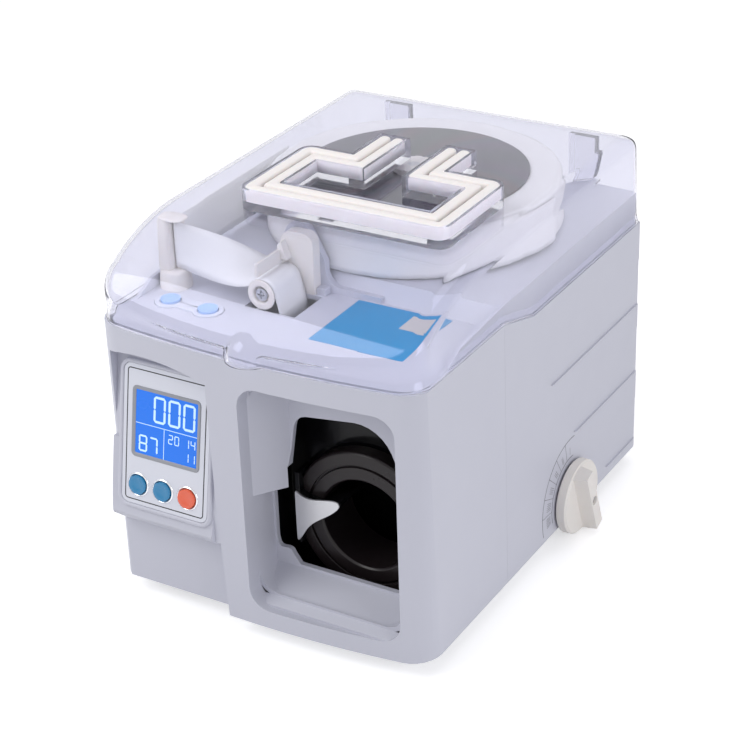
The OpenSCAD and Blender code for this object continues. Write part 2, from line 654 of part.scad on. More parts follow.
// Board behind the console, with three key switches and two rows of parts
board_depth = lcd_back - 8;
module panel_board() on_feet() color([0.1, 0.35, 0.2]) on_console(panel_x, 0) {
    translate([-panel_w / 2 + 5.5, 5, board_depth - 1.6]) cube([panel_w - 9, panel_len - 16, 1.6]);
    for (x = button_xs) translate([x - panel_x, button_s, board_depth]) {
        translate([-3, -3, 0]) cube([6, 6, 3.4]);
        cylinder(r = 1.7, h = 4.4);
    }
    for (i = [0:3]) translate([-18 + i * 10, 32, board_depth - 4.6]) cube([7, 12, 3]);
}
// Round push button: dished cap, collar behind the plate, stem to its switch
module push_button(x, c) on_feet() color(c) on_console(x, button_s) {
    difference() {
        translate([0, 0, button_travel + 0.1]) cylinder(r = button_r, h = panel_t + 1.3 - button_travel);
        translate([0, 0, panel_t + 1.4 + 17.6]) sphere(r = 18);
    }
    translate([0, 0, board_depth + 4.4 + button_travel + 0.2])
        cylinder(r = button_r - 1.4, h = -board_depth - 4.4);
}
module button_up() push_button(button_xs[0], [0.05, 0.50, 0.72]);
module button_down() push_button(button_xs[1], [0.05, 0.50, 0.72]);
module button_function() push_button(button_xs[2], [0.93, 0.33, 0.15]);

// ---------- keys on the deck ----------
key_x = -hw + 34;
key_y = 33;
key_pitch = 23;
key_pad_z = front_deck_z + 0.8;
module key_pad_form(g, z0, z1) along_z(front_deck_z + z0, front_deck_z + z1 + 0.8) polygon(concat(
    arc(key_x + key_pitch / 2, key_y - 0.5, 8 + g, -140, 140, 10),
    arc(key_x - key_pitch / 2, key_y + 0.5, 8 + g, 40, 320, 10)));
module key_pad() on_feet() color([0.80, 0.82, 0.88]) difference() {
    key_pad_form(0, -deck_t, 0);
    for (s = [-1, 1]) translate([key_x + s * key_pitch / 2, key_y - s * 0.5, front_deck_z - 5]) {
        cylinder(r = 5.3, h = 10);
    }
}
module deck_key(s) on_feet() color([0.55, 0.72, 0.95])
    translate([key_x + s * key_pitch / 2, key_y - s * 0.5, front_deck_z - deck_t]) difference() {
        cylinder(r = 5, h = deck_t + 1.8);
        translate([0, 0, deck_t + 1.6 + 29.8]) sphere(r = 30);
    }
// Small board under the keys, hung from the deck on two pillars
module key_board() on_feet() color([0.1, 0.35, 0.2]) translate([key_x, key_y, front_deck_z - deck_t]) {
    translate([-21, -7, -5.8]) cube([42, 14, 1.6]);
    for (s = [-1, 1]) translate([s * key_pitch / 2, -s * 0.5, -4.3]) {
        translate([-3, -3, 0]) cube([6, 6, 2.4]);
        cylinder(r = 1.7, h = 3.3);
    }
    for (s = [-1, 1]) translate([s * 2, 0, -4.3]) cylinder(r = 1.5, h = 4.3);
}
module key_feed() deck_key(-1);
module key_return() deck_key(1);

// ---------- tape roll ----------
module roll_platter() on_feet() color(cream_c) translate([roll_x, roll_y, roll_z0 - platter_t]) difference() {
    cylinder(r = core_r + 8, h = platter_t);
    translate([0, 0, -1]) cylinder(r = spindle_r + run_gap, h = 5);
}
// Wound tape, its outer turns slightly dished
module tape_roll() on_feet() color(tape_c) translate([roll_x, roll_y, roll_z0]) rotate_extrude($fn = 96)
    polygon([[core_r, 0], [roll_r - 1, 0], [roll_r, 1], [roll_r, tape_w - 2.4], [roll_r - 2, tape_w],
        [disc_r + 6, tape_w - 0.8], [disc_r + 0.6, tape_w - 1.2], [core_r, tape_w - 1.2]]);
module roll_core() on_feet() color([0.75, 0.62, 0.45]) translate([roll_x, roll_y, roll_z0]) difference() {
    union() {
        cylinder(r = core_r - 0.05, h = tape_w - 1.2);
    }
    for (a = [0:60:300]) rotate([0, 0, a]) translate([18, 0, -1]) cylinder(r = 6, h = 40);
    translate([0, 0, -1]) cylinder(r = spindle_r + run_gap, h = 40);
}
module roll_disc() on_feet() color([0.15, 0.14, 0.17])
    translate([roll_x, roll_y, roll_z1 - 1.2]) difference() {
        cylinder(r = disc_r, h = 1.2);
        translate([0, 0, -1]) cylinder(r = spindle_r + 1.5, h = 4);
    }
module roll_hub_nut() on_feet() color(cream_c) translate([roll_x, roll_y, roll_z1 + 0.05]) difference() {
    cylinder(r = 11, h = 3);
    translate([0, 0, -1]) cylinder(r = 3, h = 6);
    for (a = [0:30:330]) rotate([0, 0, a]) translate([11.6, 0, -1]) cylinder(r = 1.4, h = 6, $fn = 16);
}
module roll_spindle() on_feet() color(steel_c) translate([roll_x, roll_y, 0]) {
    translate([0, 0, plateau_z - 12]) cylinder(r = spindle_r, h = roll_z1 - plateau_z + 11.5);
    translate([0, 0, roll_z1 - 0.6]) cylinder(r = 3, h = 3.6);
    translate([0, 0, plateau_z - 14]) cylinder(r = spindle_r + 3, h = 2);
}

// ---------- tape guides ----------
// Round stub with an outer half-round cheek, a bend pin behind it and a flat cap over both
module tape_post() on_feet() color(cream_c) translate([post_x, post_y, front_deck_z]) {
    stub_h = roll_z0 - front_deck_z - 0.5;
    top_h = roll_z0 + web_w + 0.8 - front_deck_z;
    cylinder(r = post_r, h = stub_h);
    difference() {
        cylinder(r = post_r - 1.2, h = top_h + 1);
        rotate([0, 0, 35]) translate([-1.2, -20, stub_h - 0.5]) cube([40, 40, 60]);
    }
    translate([bend_x - post_x, bend_y - post_y, stub_h - 0.5]) cylinder(r = bend_r, h = top_h - stub_h + 1);
    translate([0, 0, top_h]) cylinder(r = post_r, h = 1);
    translate([0, 0, -deck_t - 3]) cylinder(r = 2.2 - 0.02, h = deck_t + 3.1);
}
// Moulded guide on the front of the fin: rounded block, and a plate that holds the tape down
module guide_body() on_feet() color(cream_c) difference() {
    union() {
        along_y(web_y1 + 0.3, fin_y) polygon(concat([[guide_x - 5, front_deck_z], [guide_x + 14, front_deck_z]],
            arc(guide_x + 8.5, fin_top_z - 8, 5.5, 5, 90, 5), arc(guide_x + 2, fin_top_z - 9.5, 7, 90, 170, 5)));
        block(guide_x - 4.2, guide_x - 2.6, web_y0 + 2, web_y1 + 1, guide_z + guide_barrel + 1.2, fin_top_z - 11);
        along_y(web_y1 - 4, web_y1 + 1) polygon([[guide_x - 4.2, guide_z + guide_barrel + 3],
            [guide_x + 1.4, guide_z + guide_barrel + 3], [guide_x - 2, fin_top_z - 7], [guide_x - 4.2, fin_top_z - 9]]);
    }
    rod_y(guide_x, guide_z, web_y1, fin_y + 1, 1.6 + run_gap);
}
module guide_roller() on_feet() color(cream_c) difference() {
    union() {
        rod_y(guide_x, guide_z, web_y0 + 1.2, web_y1, guide_barrel);
        rod_y(guide_x, guide_z, web_y0, web_y0 + 1.4, guide_r);
    }
    rod_y(guide_x, guide_z, web_y0 - 1, web_y1 + 1, 1.6 + run_gap);
    rod_y(guide_x, guide_z, web_y0 - 1, web_y0 + 2.6, 4.3);
}
// Shouldered screw on which the roller turns, driven into the fin
module roller_screw() on_feet() color(steel_c) difference() {
    union() {
        rod_y(guide_x, guide_z, web_y0 + 0.2, fin_y, 1.6);
        rod_y(guide_x, guide_z, web_y0 + 0.6, web_y0 + 2.4, 3.2);
    }
    block(guide_x - 0.4, guide_x + 0.4, web_y0, web_y0 + 1.6, guide_z - 2.2, guide_z + 2.2);
    block(guide_x - 2.2, guide_x + 2.2, web_y0, web_y0 + 1.6, guide_z - 0.4, guide_z + 0.4);
}
// Tape: straight run beside the roll, turn on the bend pin, quarter twist, then over the roller
tape_mid_z = roll_z0 + 0.3 + web_w / 2;
run_x = roll_x - roll_r - fit_gap - web_t;
turn_r = bend_r + fit_gap + web_t;
function bez(a, b, c, d, t) = pow(1 - t, 3) * a + 3 * pow(1 - t, 2) * t * b + 3 * (1 - t) * t * t * c + pow(t, 3) * d;
wrap_r = guide_barrel + fit_gap;
wrap_a = 125;
twist_n = 22;
twist_a = [bend_x + 0.4, bend_y - turn_r + web_t / 2, tape_mid_z];
twist_b = [guide_x + (wrap_r + web_t / 2) * cos(wrap_a + 3), web_y0 + 1.7 + web_w / 2,
    guide_z + (wrap_r + web_t / 2) * sin(wrap_a + 3)];
twist_c = twist_b - 9 * [sin(wrap_a), 0, -cos(wrap_a)];
function twist_corner(t, i, j) = let (
        s = t * t * (3 - 2 * t), c = bez(twist_a, twist_a + [14, 0, 0], twist_c, twist_b, t),
        d = bez(twist_a, twist_a + [14, 0, 0], twist_c, twist_b, t + 0.001) - c,
        u = [0, sin(90 * s), cos(90 * s)], v = cross(d, u) / norm(cross(d, u)))
    c + i * u * web_w / 2 + j * v * web_t / 2;
module twisted_tape() polyhedron(
    points = [for (k = [0:twist_n], q = [[-1, -1], [1, -1], [1, 1], [-1, 1]]) twist_corner(k / twist_n, q[0], q[1])],
    faces = concat([[0, 1, 2], [0, 2, 3]],
        [for (k = [0:twist_n - 1], e = [0:3], h = [0, 1]) let (a = 4 * k + e, b = 4 * k + (e + 1) % 4)
            h == 0 ? [a, a + 4, b + 4] : [a, b + 4, b]],
        [[4 * twist_n, 4 * twist_n + 2, 4 * twist_n + 1], [4 * twist_n, 4 * twist_n + 3, 4 * twist_n + 2]]));
module tape_web() on_feet() color(tape_c) union() {
    along_z(tape_mid_z - web_w / 2, tape_mid_z + web_w / 2) polygon(concat(
        [[run_x, roll_y]], [[bend_x - turn_r, bend_y]],
        arc(bend_x, bend_y, turn_r, 195, 270, 6), [[bend_x + 0.6, bend_y - turn_r]],
        [[bend_x + 0.6, bend_y - turn_r + web_t]], arc(bend_x, bend_y, turn_r - web_t, 270, 195, 6),
        [[bend_x - turn_r + web_t, bend_y]], [[run_x + web_t, roll_y]]));
    twisted_tape();
    along_y(web_y0 + 1.7, web_y0 + 1.7 + web_w) polygon(concat(
        arc(guide_x, guide_z, wrap_r + web_t, wrap_a, 15, 10),
        [[slot_x + web_t / 2, front_deck_z - 8], [slot_x + web_t / 2, web_end_z],
        [slot_x - web_t / 2, web_end_z], [slot_x - web_t / 2, front_deck_z - 8]],
        arc(guide_x, guide_z, wrap_r, 15, wrap_a, 10)));
}

// ---------- cavity ----------
liner_x0 = mouth_x0 - 2.5;
liner_x1 = min(hw - shell_wall - side_lean - 0.4, ring_x + sweep_r + 3);
liner_z0 = ring_z - sweep_r - 2.4;
liner_z1 = ring_z + 65;
liner_t = 1.4;
// Black tunnel between funnel and ring, with the ring's clearance hole in its rear wall
module cavity_liner() on_feet() color(black_c) difference() {
    along_y(liner_y0, liner_y1) polygon(round_rect(liner_x0, liner_z0, liner_x1, liner_z1, 7));
    along_y(liner_y0 - 1, liner_y1 - 2)
        polygon(round_rect(liner_x0 + liner_t, liner_z0 + liner_t, liner_x1 - liner_t, liner_z1 - liner_t, 6));
    rod_y(ring_x, ring_z, liner_y0, liner_y1 + 1, drum_r + 1);
}
// Toothed wheel: trapezoid teeth on a root disc
module toothed(n, y0, y1, turn) rotate([90, 0, 0]) translate([0, 0, -y1]) linear_extrude(y1 - y0) {
    r = tooth_m * n / 2;
    half = 360 / n / 4;
    polygon([for (i = [0:n - 1], p = [[-1.5, -1.1], [-0.5, 0.92], [0.5, 0.92], [1.5, -1.1]])
        let (a = turn + 360 * i / n + p[0] * half, q = r + p[1] * tooth_m) [q * cos(a), q * sin(a)]]);
}
module wrap_ring() on_feet() color([0.42, 0.39, 0.39]) difference() {
    union() {
        translate([ring_x, 0, ring_z]) rotate([-90, 0, 0]) rotate_extrude($fn = 96) polygon([
            [ring_bore_r, ring_y + 1], [ring_bore_r + 1, ring_y], [31.6, ring_y], [31.6, ring_y + 1.6],
            [32.9, ring_y + 1.6], [32.9, ring_y], [ring_r - 1, ring_y], [ring_r, ring_y + 1],
            [ring_r, ring_y + ring_t], [drum_r, ring_y + ring_t], [drum_r, gear_y + 0.5],
            [ring_bore_r, gear_y + 0.5]]);
        translate([ring_x, 0, ring_z]) toothed(ring_teeth, gear_y, gear_y + gear_t, mesh_angle);
        rod_y(ring_x, ring_z, gear_y + 0.5, retainer_y + retainer_t, hub_r);
    }
    rod_y(ring_x, ring_z, ring_y + 1, retainer_y + retainer_t + 1, ring_bore_r);
}
// Trough-shaped arm on the ring's face; its fin reaches through the bore
wall_x = ring_x - 37;
arm_tip = [ring_x - 11, ring_z + 10.5];
fin_section = concat(
    [[wall_x, ring_z - 17.5], [wall_x + 0.2, ring_z + 12]],
    arc(wall_x + 12, ring_z + 28, 19, 232, 290, 7),
    [[arm_tip[0] - 1, arm_tip[1] + 1.4], [arm_tip[0], arm_tip[1]], [arm_tip[0] - 1, arm_tip[1] - 1.6]],
    arc(arm_tip[0] + 1, ring_z - 16, 24.5, 102, 158, 7),
    [[wall_x + 1.6, ring_z - 18]]);
module wrap_arm() on_feet() color(black_c) {
    difference() {
        union() {
            along_y(arm_y, ring_y + ring_t) polygon(fin_section);
            along_y(arm_y, ring_y + ring_t) polygon([[wall_x, ring_z - 17.5], [wall_x + 2.2, ring_z - 17.5],
                [wall_x + 2.4, ring_z + 22.6], [wall_x, ring_z + 22.6]]);
        }
        rod_y(ring_x, ring_z, ring_y, ring_y + ring_t + 1, ring_r + 0.02);
    }
    intersection() {
        along_y(ring_y - 0.5, housing_y + housing_t) polygon(fin_section);
        rod_y(ring_x, ring_z, ring_y - 1, housing_y + 30, ring_bore_r - 0.02);
    }
}
module arm_cap() on_feet() color([0.80, 0.79, 0.80]) along_y(arm_y - 1, arm_y) polygon(fin_section);
module ring_retainer() on_feet() color(steel_c) difference() {
    rod_y(ring_x, ring_z, retainer_y, retainer_y + retainer_t, hub_r + 4);
    rod_y(ring_x, ring_z, retainer_y - 1, retainer_y + retainer_t + 1, hub_r);
}
// Plate with the ring's bearing, feet to the base plate and the motor's seat
housing_x0 = mouth_x0 - 4;
housing_x1 = hw - shell_wall - side_lean - 1;
housing_top = pinion_z + 16;
module ring_housing() on_feet() color([0.16, 0.15, 0.16]) difference() {
    union() {
        along_y(housing_y, housing_y + housing_t) polygon(concat(
            [[housing_x0, plate_t], [housing_x1, plate_t], [housing_x1, ring_z + 30]],
            [[ring_x + 22, ring_z + 42], [pinion_x + 18, housing_top], [housing_x0, housing_top]]));
        block(housing_x0, housing_x1, housing_y, housing_y + 18, plate_t, plate_t + 3);
    }
    rod_y(ring_x, ring_z, housing_y - 1, housing_y + housing_t + 1, hub_r + run_gap);
    rod_y(ring_x, ring_z, housing_y + housing_t, housing_y + 40, hub_r + 5);
    rod_y(pinion_x, pinion_z, housing_y - 1, housing_y + housing_t + 1, 6);
}
module drive_motor() on_feet() color([0.62, 0.62, 0.64]) difference() {
    union() {
        rod_y(pinion_x, pinion_z, housing_y + housing_t, housing_y + housing_t + drive_motor_len, drive_motor_r);
        rod_y(pinion_x, pinion_z, housing_y + 1, housing_y + housing_t + 1, 5.8);
        rod_y(pinion_x, pinion_z, housing_y + housing_t + drive_motor_len - 1,
            housing_y + housing_t + drive_motor_len + 3, 6);
    }
    rod_y(pinion_x, pinion_z, housing_y - 1, housing_y + housing_t + 15, drive_shaft_r + run_gap);
}
module drive_pinion() on_feet() color([0.85, 0.72, 0.35]) {
    translate([pinion_x, 0, pinion_z])
        toothed(pinion_teeth, gear_y + 0.3, gear_y + gear_t, mesh_angle + 180 + 180 / pinion_teeth);
    rod_y(pinion_x, pinion_z, gear_y + 1, housing_y + housing_t + 14, drive_shaft_r);
}

// ---------- feed under the deck ----------
// Bent steel frame hung from the deck, with the bearings of both rollers
module feed_frame() on_feet() color(steel_c) difference() {
    union() {
        block(frame_x0, frame_x1, frame_y0, frame_y0 + frame_t, frame_z0, front_deck_z - deck_t);
        block(frame_x0, frame_x1, frame_y1, frame_y1 + frame_t, frame_z0, front_deck_z - deck_t);
        block(frame_x0, frame_x0 + frame_t, frame_y0, frame_y1 + frame_t, frame_z0, front_deck_z - deck_t);
    }
    for (x = [feed_x, pinch_x]) rod_y(x, feed_z, frame_y0 - 1, frame_y1 + frame_t + 1, feed_shaft_r + run_gap);
}
module rubber_roller(x, r, y_end) {
    rod_y(x, feed_z, frame_y0 + frame_t + 0.4, frame_y1 - 0.4, r);
    rod_y(x, feed_z, frame_y0 - 0.6, y_end, feed_shaft_r);
}
module feed_roller() on_feet() color([0.2, 0.2, 0.22]) rubber_roller(feed_x, feed_r, frame_y1 + frame_t + 12);
module pinch_roller() on_feet() color([0.2, 0.2, 0.22]) rubber_roller(pinch_x, pinch_r, frame_y1 + frame_t - 0.2);
module feed_motor() on_feet() color([0.62, 0.62, 0.64]) difference() {
    rod_y(feed_x, feed_z, frame_y1 + frame_t, frame_y1 + frame_t + feed_motor_len, feed_motor_r);
    rod_y(feed_x, feed_z, frame_y1, frame_y1 + frame_t + 13, feed_shaft_r + run_gap);
}

// ---------- sealing and cutting ----------
module seal_lever() on_feet() color(steel_c) difference() {
    union() {
        along_y(lever_y0, lever_y0 + lever_t) polygon([[lever_x - 5, lever_z - 4], [lever_x + 4.5, lever_z - 4],
            [lever_x + 4.5, lever_z + lever_len], [lever_x - 3, lever_z + lever_len]]);
        rod_y(lever_x, lever_z, lever_y0, lever_y0 + lever_t, 6);
    }
    rod_y(lever_x, lever_z, lever_y0 - 1, lever_y0 + lever_t + 1, lever_pin_r + run_gap);
}
module heater_block() on_feet() color([0.75, 0.6, 0.4])
    block(lever_x + 4.5, lever_x + 11.5, lever_y0, lever_y0 + 12, lever_z + lever_len - 14, lever_z + lever_len - 2);
// Bracket on the ring housing that holds the lever's pin
module lever_pin() on_feet() color(steel_c) {
    rod_y(lever_x, lever_z, lever_y0 - 8, lever_y0 + lever_t + 2, lever_pin_r);
    block(lever_x - 5, housing_x0 + 6, lever_y0 - 10, lever_y0 - 8, lever_z - 6, lever_z + 6);
}
module cutter_guide() on_feet() color(steel_c) difference() {
    block(frame_x0 + frame_t, slot_x - 2.5, web_y0, web_y1, frame_z0 + 0.2, frame_z0 + 4.4);
    block(frame_x0 + frame_t + 3, slot_x + 5, web_y0 + 2, web_y1 - 2, frame_z0 + 1.4, frame_z0 + 3);
}
module cutter_blade() on_feet() color([0.8, 0.8, 0.82]) along_y(web_y0 + 2.3, web_y1 - 2.3)
    polygon([[frame_x0 + frame_t + 6, frame_z0 + 1.6], [slot_x - 2.4, frame_z0 + 1.6], [slot_x - 1, frame_z0 + 2.8],
        [frame_x0 + frame_t + 6, frame_z0 + 2.8]]);

// ---------- setting knob ----------
module setting_knob() on_feet() color(cream_c) difference() {
    union() {
        translate([knob_face_x, knob_y, knob_z]) rotate([0, 90, 0]) rotate_extrude($fn = 72)
            polygon([[0, 0], [knob_r - 0.8, 0], [knob_r, 0.8], [knob_r, knob_disc - 1], [knob_r - 1, knob_disc], [0, knob_disc]]);
        rod_x(knob_y, knob_z, hw - 8, knob_face_x + 1, knob_bore_r);
        // grip bar, tapered in section
        intersection() {
            translate([knob_face_x + knob_disc - 1, knob_y, knob_z]) rotate([knob_turn, 0, 0])
                translate([0, 0, -knob_r]) linear_extrude(2 * knob_r)
                polygon([[0, -5.4], [knob_bar + 1, -3.6], [knob_bar + 1, 3.6], [0, 5.4]]);
            rod_x(knob_y, knob_z, knob_face_x, knob_face_x + knob_disc + knob_bar + 1, knob_r - 0.6);
        }
    }
    rod_x(knob_y, knob_z, knob_face_x + knob_disc + knob_bar - 3, knob_face_x + knob_disc + knob_bar + 5, 2.6);
}
knob_turn = 20;
module knob_screw() on_feet() color(steel_c) difference() {
    rod_x(knob_y, knob_z, knob_face_x + knob_disc + knob_bar - 3, knob_face_x + knob_disc + knob_bar - 1.4, 2.4);
    block(knob_face_x + knob_disc + knob_bar - 2, knob_face_x + knob_disc + knob_bar, knob_y - 0.3, knob_y + 0.3,
        knob_z - 1.6, knob_z + 1.6);
}
module setting_control() on_feet() color([0.25, 0.4, 0.3]) difference() {
    union() {
        rod_x(knob_y, knob_z, hw - 18, hw - shell_wall - 1.4, control_r);
        block(hw - 20, hw - 18, knob_y - 11, knob_y + 11, plate_t, knob_z + 10);
    }
    rod_x(knob_y, knob_z, hw - 14, hw, knob_bore_r + run_gap);
}

// ---------- electrics ----------
module main_board() on_feet() color([0.1, 0.35, 0.2]) {
    x0 = -hw + 14;
    y0 = body_d - 122;
    translate([x0, y0, 8]) cube([62, 84, 1.6]);
    for (x = [4, 58], y = [4, 80]) translate([x0 + x, y0 + y, plate_t]) cylinder(r = 2.5, h = 6);
    for (i = [0:4]) translate([x0 + 6 + i * 11, y0 + 12, 9.6]) cube([8, 14, 6]);
    for (i = [0:2]) translate([x0 + 14 + i * 16, y0 + 46, 9.6]) cylinder(r = 6, h = 18);
    translate([x0 + 10, y0 + 62, 9.6]) cube([40, 14, 10]);
}
// Laminated core with its winding, on two foot straps
module transformer() on_feet() color([0.45, 0.33, 0.2]) translate([ring_x - 8, body_d - 74, plate_t]) {
    difference() {
        cube([46, 40, 38]);
        for (z = [8, 24]) translate([-1, -1, z]) cube([48, 0.6 + 8, 6]);
    }
    translate([6, 3, 8]) cube([34, 5.6, 6]);
    translate([6, 3, 24]) cube([34, 5.6, 6]);
    translate([-8, 10, 0]) cube([62, 20, 1.5]);
}
module inlet_socket() on_feet() color(black_c) difference() {
    union() {
        block(inlet_x - 13.4, inlet_x + 13.4, body_d - 18, body_d, inlet_z - 9.8, inlet_z + 9.8);
        along_y(body_d, body_d + 2) polygon(round_rect(inlet_x - 16, inlet_z - 12, inlet_x + 16, inlet_z + 12, 2, 3));
    }
    along_y(body_d - 14, body_d + 3) polygon([[inlet_x - 10, inlet_z - 7], [inlet_x + 10, inlet_z - 7],
        [inlet_x + 10, inlet_z + 3], [inlet_x + 6, inlet_z + 7], [inlet_x - 6, inlet_z + 7], [inlet_x - 10, inlet_z + 3]]);
}
module power_switch() on_feet() color(black_c) difference() {
    union() {
        block(switch_x - 9.4, switch_x + 9.4, body_d - 16, body_d, inlet_z - 6.4, inlet_z + 6.4);
        along_y(body_d, body_d + 1.6) polygon(round_rect(switch_x - 11, inlet_z - 8, switch_x + 11, inlet_z + 8, 1.5, 3));
    }
    block(switch_x - 8, switch_x + 8, body_d - 8, body_d + 4, inlet_z - 5.2, inlet_z + 5.2);
    translate([switch_x, rocker_y, inlet_z - 6.1]) cylinder(r = rocker_pin_r + run_gap, h = 12.2);
}
rocker_y = body_d - 4;
rocker_pin_r = 1.2;
// Rocker with a dished front on two pivot pins
module switch_rocker() on_feet() color([0.75, 0.12, 0.1]) {
    translate([switch_x, rocker_y, inlet_z - 6]) cylinder(r = rocker_pin_r, h = 12);
    along_z(inlet_z - 4.8, inlet_z + 4.8) polygon(concat([[switch_x - 5.5, rocker_y - 1.6], [switch_x + 5.5, rocker_y - 1.6]],
        [[switch_x + 7, body_d + 2.4]], arc(switch_x, body_d + 22, 20.6, -72, -108, 6), [[switch_x - 7, body_d + 2.4]]));
}

// Cross-headed screws: shells to base plate
module housing_screws() on_feet() color(steel_c)
    for (x = [-1, 1], y = [split_y - 12, body_d - 12]) translate([x * (hw - screw_in), y, 0]) difference() {
        union() {
            translate([0, 0, -1.6]) cylinder(r = 3, h = 1.6);
            translate([0, 0, -0.4]) cylinder(r = screw_r, h = 12);
        }
        translate([-1.8, -0.35, -2]) cube([3.6, 0.7, 1.2]);
        translate([-0.35, -1.8, -2]) cube([0.7, 3.6, 1.2]);
    }

base_plate();
rubber_feet();
front_shell();
rear_shell();
top_deck();
clear_cover();
hinge_pins();
bundle_rest();
rest_strip_outer();
rest_strip_inner();
panel_plate();
lcd_window();
lcd_module();
panel_board();
button_up();
button_down();
button_function();
key_pad();
key_board();
key_feed();
key_return();
roll_platter();
tape_roll();
roll_core();
roll_disc();
roll_hub_nut();
roll_spindle();
tape_post();
guide_body();
guide_roller();
roller_screw();
tape_web();
cavity_liner();
wrap_ring();
wrap_arm();
arm_cap();
ring_retainer();
ring_housing();
drive_motor();
drive_pinion();
feed_frame();
feed_roller();
pinch_roller();
feed_motor();
seal_lever();
heater_block();
lever_pin();
cutter_blade();
cutter_guide();
setting_knob();
knob_screw();
setting_control();
main_board();
transformer();
inlet_socket();
power_switch();
switch_rocker();
housing_screws();
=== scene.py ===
import json
import math

import bpy
import numpy as np
from mathutils import Matrix, Vector


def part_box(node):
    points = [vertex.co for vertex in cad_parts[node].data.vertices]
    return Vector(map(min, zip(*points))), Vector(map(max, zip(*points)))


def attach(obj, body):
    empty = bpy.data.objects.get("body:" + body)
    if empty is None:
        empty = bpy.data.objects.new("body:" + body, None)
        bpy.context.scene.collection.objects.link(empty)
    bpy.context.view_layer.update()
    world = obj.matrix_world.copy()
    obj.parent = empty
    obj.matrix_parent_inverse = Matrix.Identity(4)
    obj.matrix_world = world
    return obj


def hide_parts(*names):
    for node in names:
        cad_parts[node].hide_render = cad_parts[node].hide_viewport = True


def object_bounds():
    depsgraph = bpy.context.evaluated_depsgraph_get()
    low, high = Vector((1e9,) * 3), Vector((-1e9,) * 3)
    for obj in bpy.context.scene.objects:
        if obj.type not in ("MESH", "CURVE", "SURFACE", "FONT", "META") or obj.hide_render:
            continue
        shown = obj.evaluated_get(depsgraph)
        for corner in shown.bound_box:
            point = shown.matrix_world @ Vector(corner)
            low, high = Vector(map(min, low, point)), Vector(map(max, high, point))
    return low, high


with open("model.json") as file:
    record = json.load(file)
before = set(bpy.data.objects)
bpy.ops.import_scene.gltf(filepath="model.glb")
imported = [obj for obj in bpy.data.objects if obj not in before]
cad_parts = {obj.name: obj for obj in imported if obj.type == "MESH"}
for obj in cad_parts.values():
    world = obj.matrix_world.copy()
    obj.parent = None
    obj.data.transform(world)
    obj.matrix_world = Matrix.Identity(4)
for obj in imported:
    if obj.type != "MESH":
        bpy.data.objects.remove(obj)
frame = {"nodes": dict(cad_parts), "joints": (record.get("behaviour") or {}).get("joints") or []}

cad_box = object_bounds()
node = frame["nodes"]

# Machine frame: millimetres, x = 0 in the middle of the housing, y = 0 at its front
# corners, z = 0 at its underside.  The sizes below are written in it.
MM = 0.001
HALF_W, DEPTH = 91.5, 246.0
HINGE_REACH = 8.3
shell_low, shell_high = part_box("front_shell")
origin = np.array(
    [(shell_low.x + shell_high.x) / 2, cad_box[1][1] - (DEPTH + HINGE_REACH) * MM, shell_low.z]
)


def place(points):
    """Machine frame in millimetres to the row frame in metres: scaled, then moved by origin."""
    return np.asarray(points, float) * MM + origin


# ---------------- camera and stage
# The camera was fitted to the housing's straight edges: 31 degrees round to the right,
# 28 degrees up, rolled by 2 degrees, about a metre off through a long lens.
CAMERA_AT = (485.95, -691.48, 578.38)
AZIMUTH, ELEVATION, ROLL = (math.radians(a) for a in (31.2, 27.75, -2.05))
LENS = 97.63
back = np.array(
    [
        math.sin(AZIMUTH) * math.cos(ELEVATION),
        -math.cos(AZIMUTH) * math.cos(ELEVATION),
        math.sin(ELEVATION),
    ]
)
level = np.array([math.cos(AZIMUTH), math.sin(AZIMUTH), 0.0])
upright = np.cross(back, level)
right = level * math.cos(ROLL) + upright * math.sin(ROLL)
up = upright * math.cos(ROLL) - level * math.sin(ROLL)
camera_data = bpy.data.cameras.new("camera")
camera_data.lens = LENS
camera_data.sensor_width = 36
camera = bpy.data.objects.new("camera", camera_data)
bpy.context.scene.collection.objects.link(camera)
turn = Matrix((right, up, back)).transposed().to_4x4()
camera.matrix_world = Matrix.Translation(Vector(place(CAMERA_AT))) @ turn
bpy.context.scene.camera = camera
bpy.context.scene.view_settings.view_transform = "Standard"


def area_lamp(name, at, aim, size, power, tint=(1, 1, 1)):
    """A square soft box at a point in metres, its -Z axis turned towards aim."""
    data = bpy.data.lights.new(name, "AREA")
    data.size, data.energy, data.color = size, power, tint
    lamp = bpy.data.objects.new(name, data)
    facing = (Vector(at) - Vector(aim)).to_track_quat("Z", "Y")
    lamp.matrix_world = Matrix.Translation(at) @ facing.to_matrix().to_4x4()
    bpy.context.scene.collection.objects.link(lamp)


MIDDLE = (0.0, 0.0, 0.1)
area_lamp("front_left_box", (-0.62, -0.74, 0.90), MIDDLE, 0.72, 6.2)
area_lamp("top_box", (0.15, 0.55, 1.35), MIDDLE, 0.8, 3.2)
area_lamp("right_box", (1.35, -0.35, 0.6), MIDDLE, 0.7, 5.8, (0.98, 0.98, 1.0))


def set_inputs(made, values):
    """Constants on a node's own input sockets, by socket name or number."""
    for name, value in values.items():
        made.inputs[name].default_value = value
    return made


def maths(tree, operation, *values, kind="Math"):
    """A Math or VectorMath node.  Each value is a socket, which is linked, or a constant."""
    made = tree.nodes.new("ShaderNode" + kind)
    made.operation = operation
    for spot, value in zip(made.inputs, values):
        if isinstance(value, bpy.types.NodeSocket):
            tree.links.new(value, spot)
        else:
            spot.default_value = value
    return made


def background_ray(tree):
    """1 on a ray from the camera, through clear plastic or off a gloss, else 0: the largest
    of three Light Path outputs."""
    rays = tree.nodes.new("ShaderNodeLightPath").outputs
    found = rays["Is Camera Ray"]
    for name in ("Is Glossy Ray", "Is Transmission Ray"):
        found = maths(tree, "MAXIMUM", found, rays[name]).outputs[0]
    return found


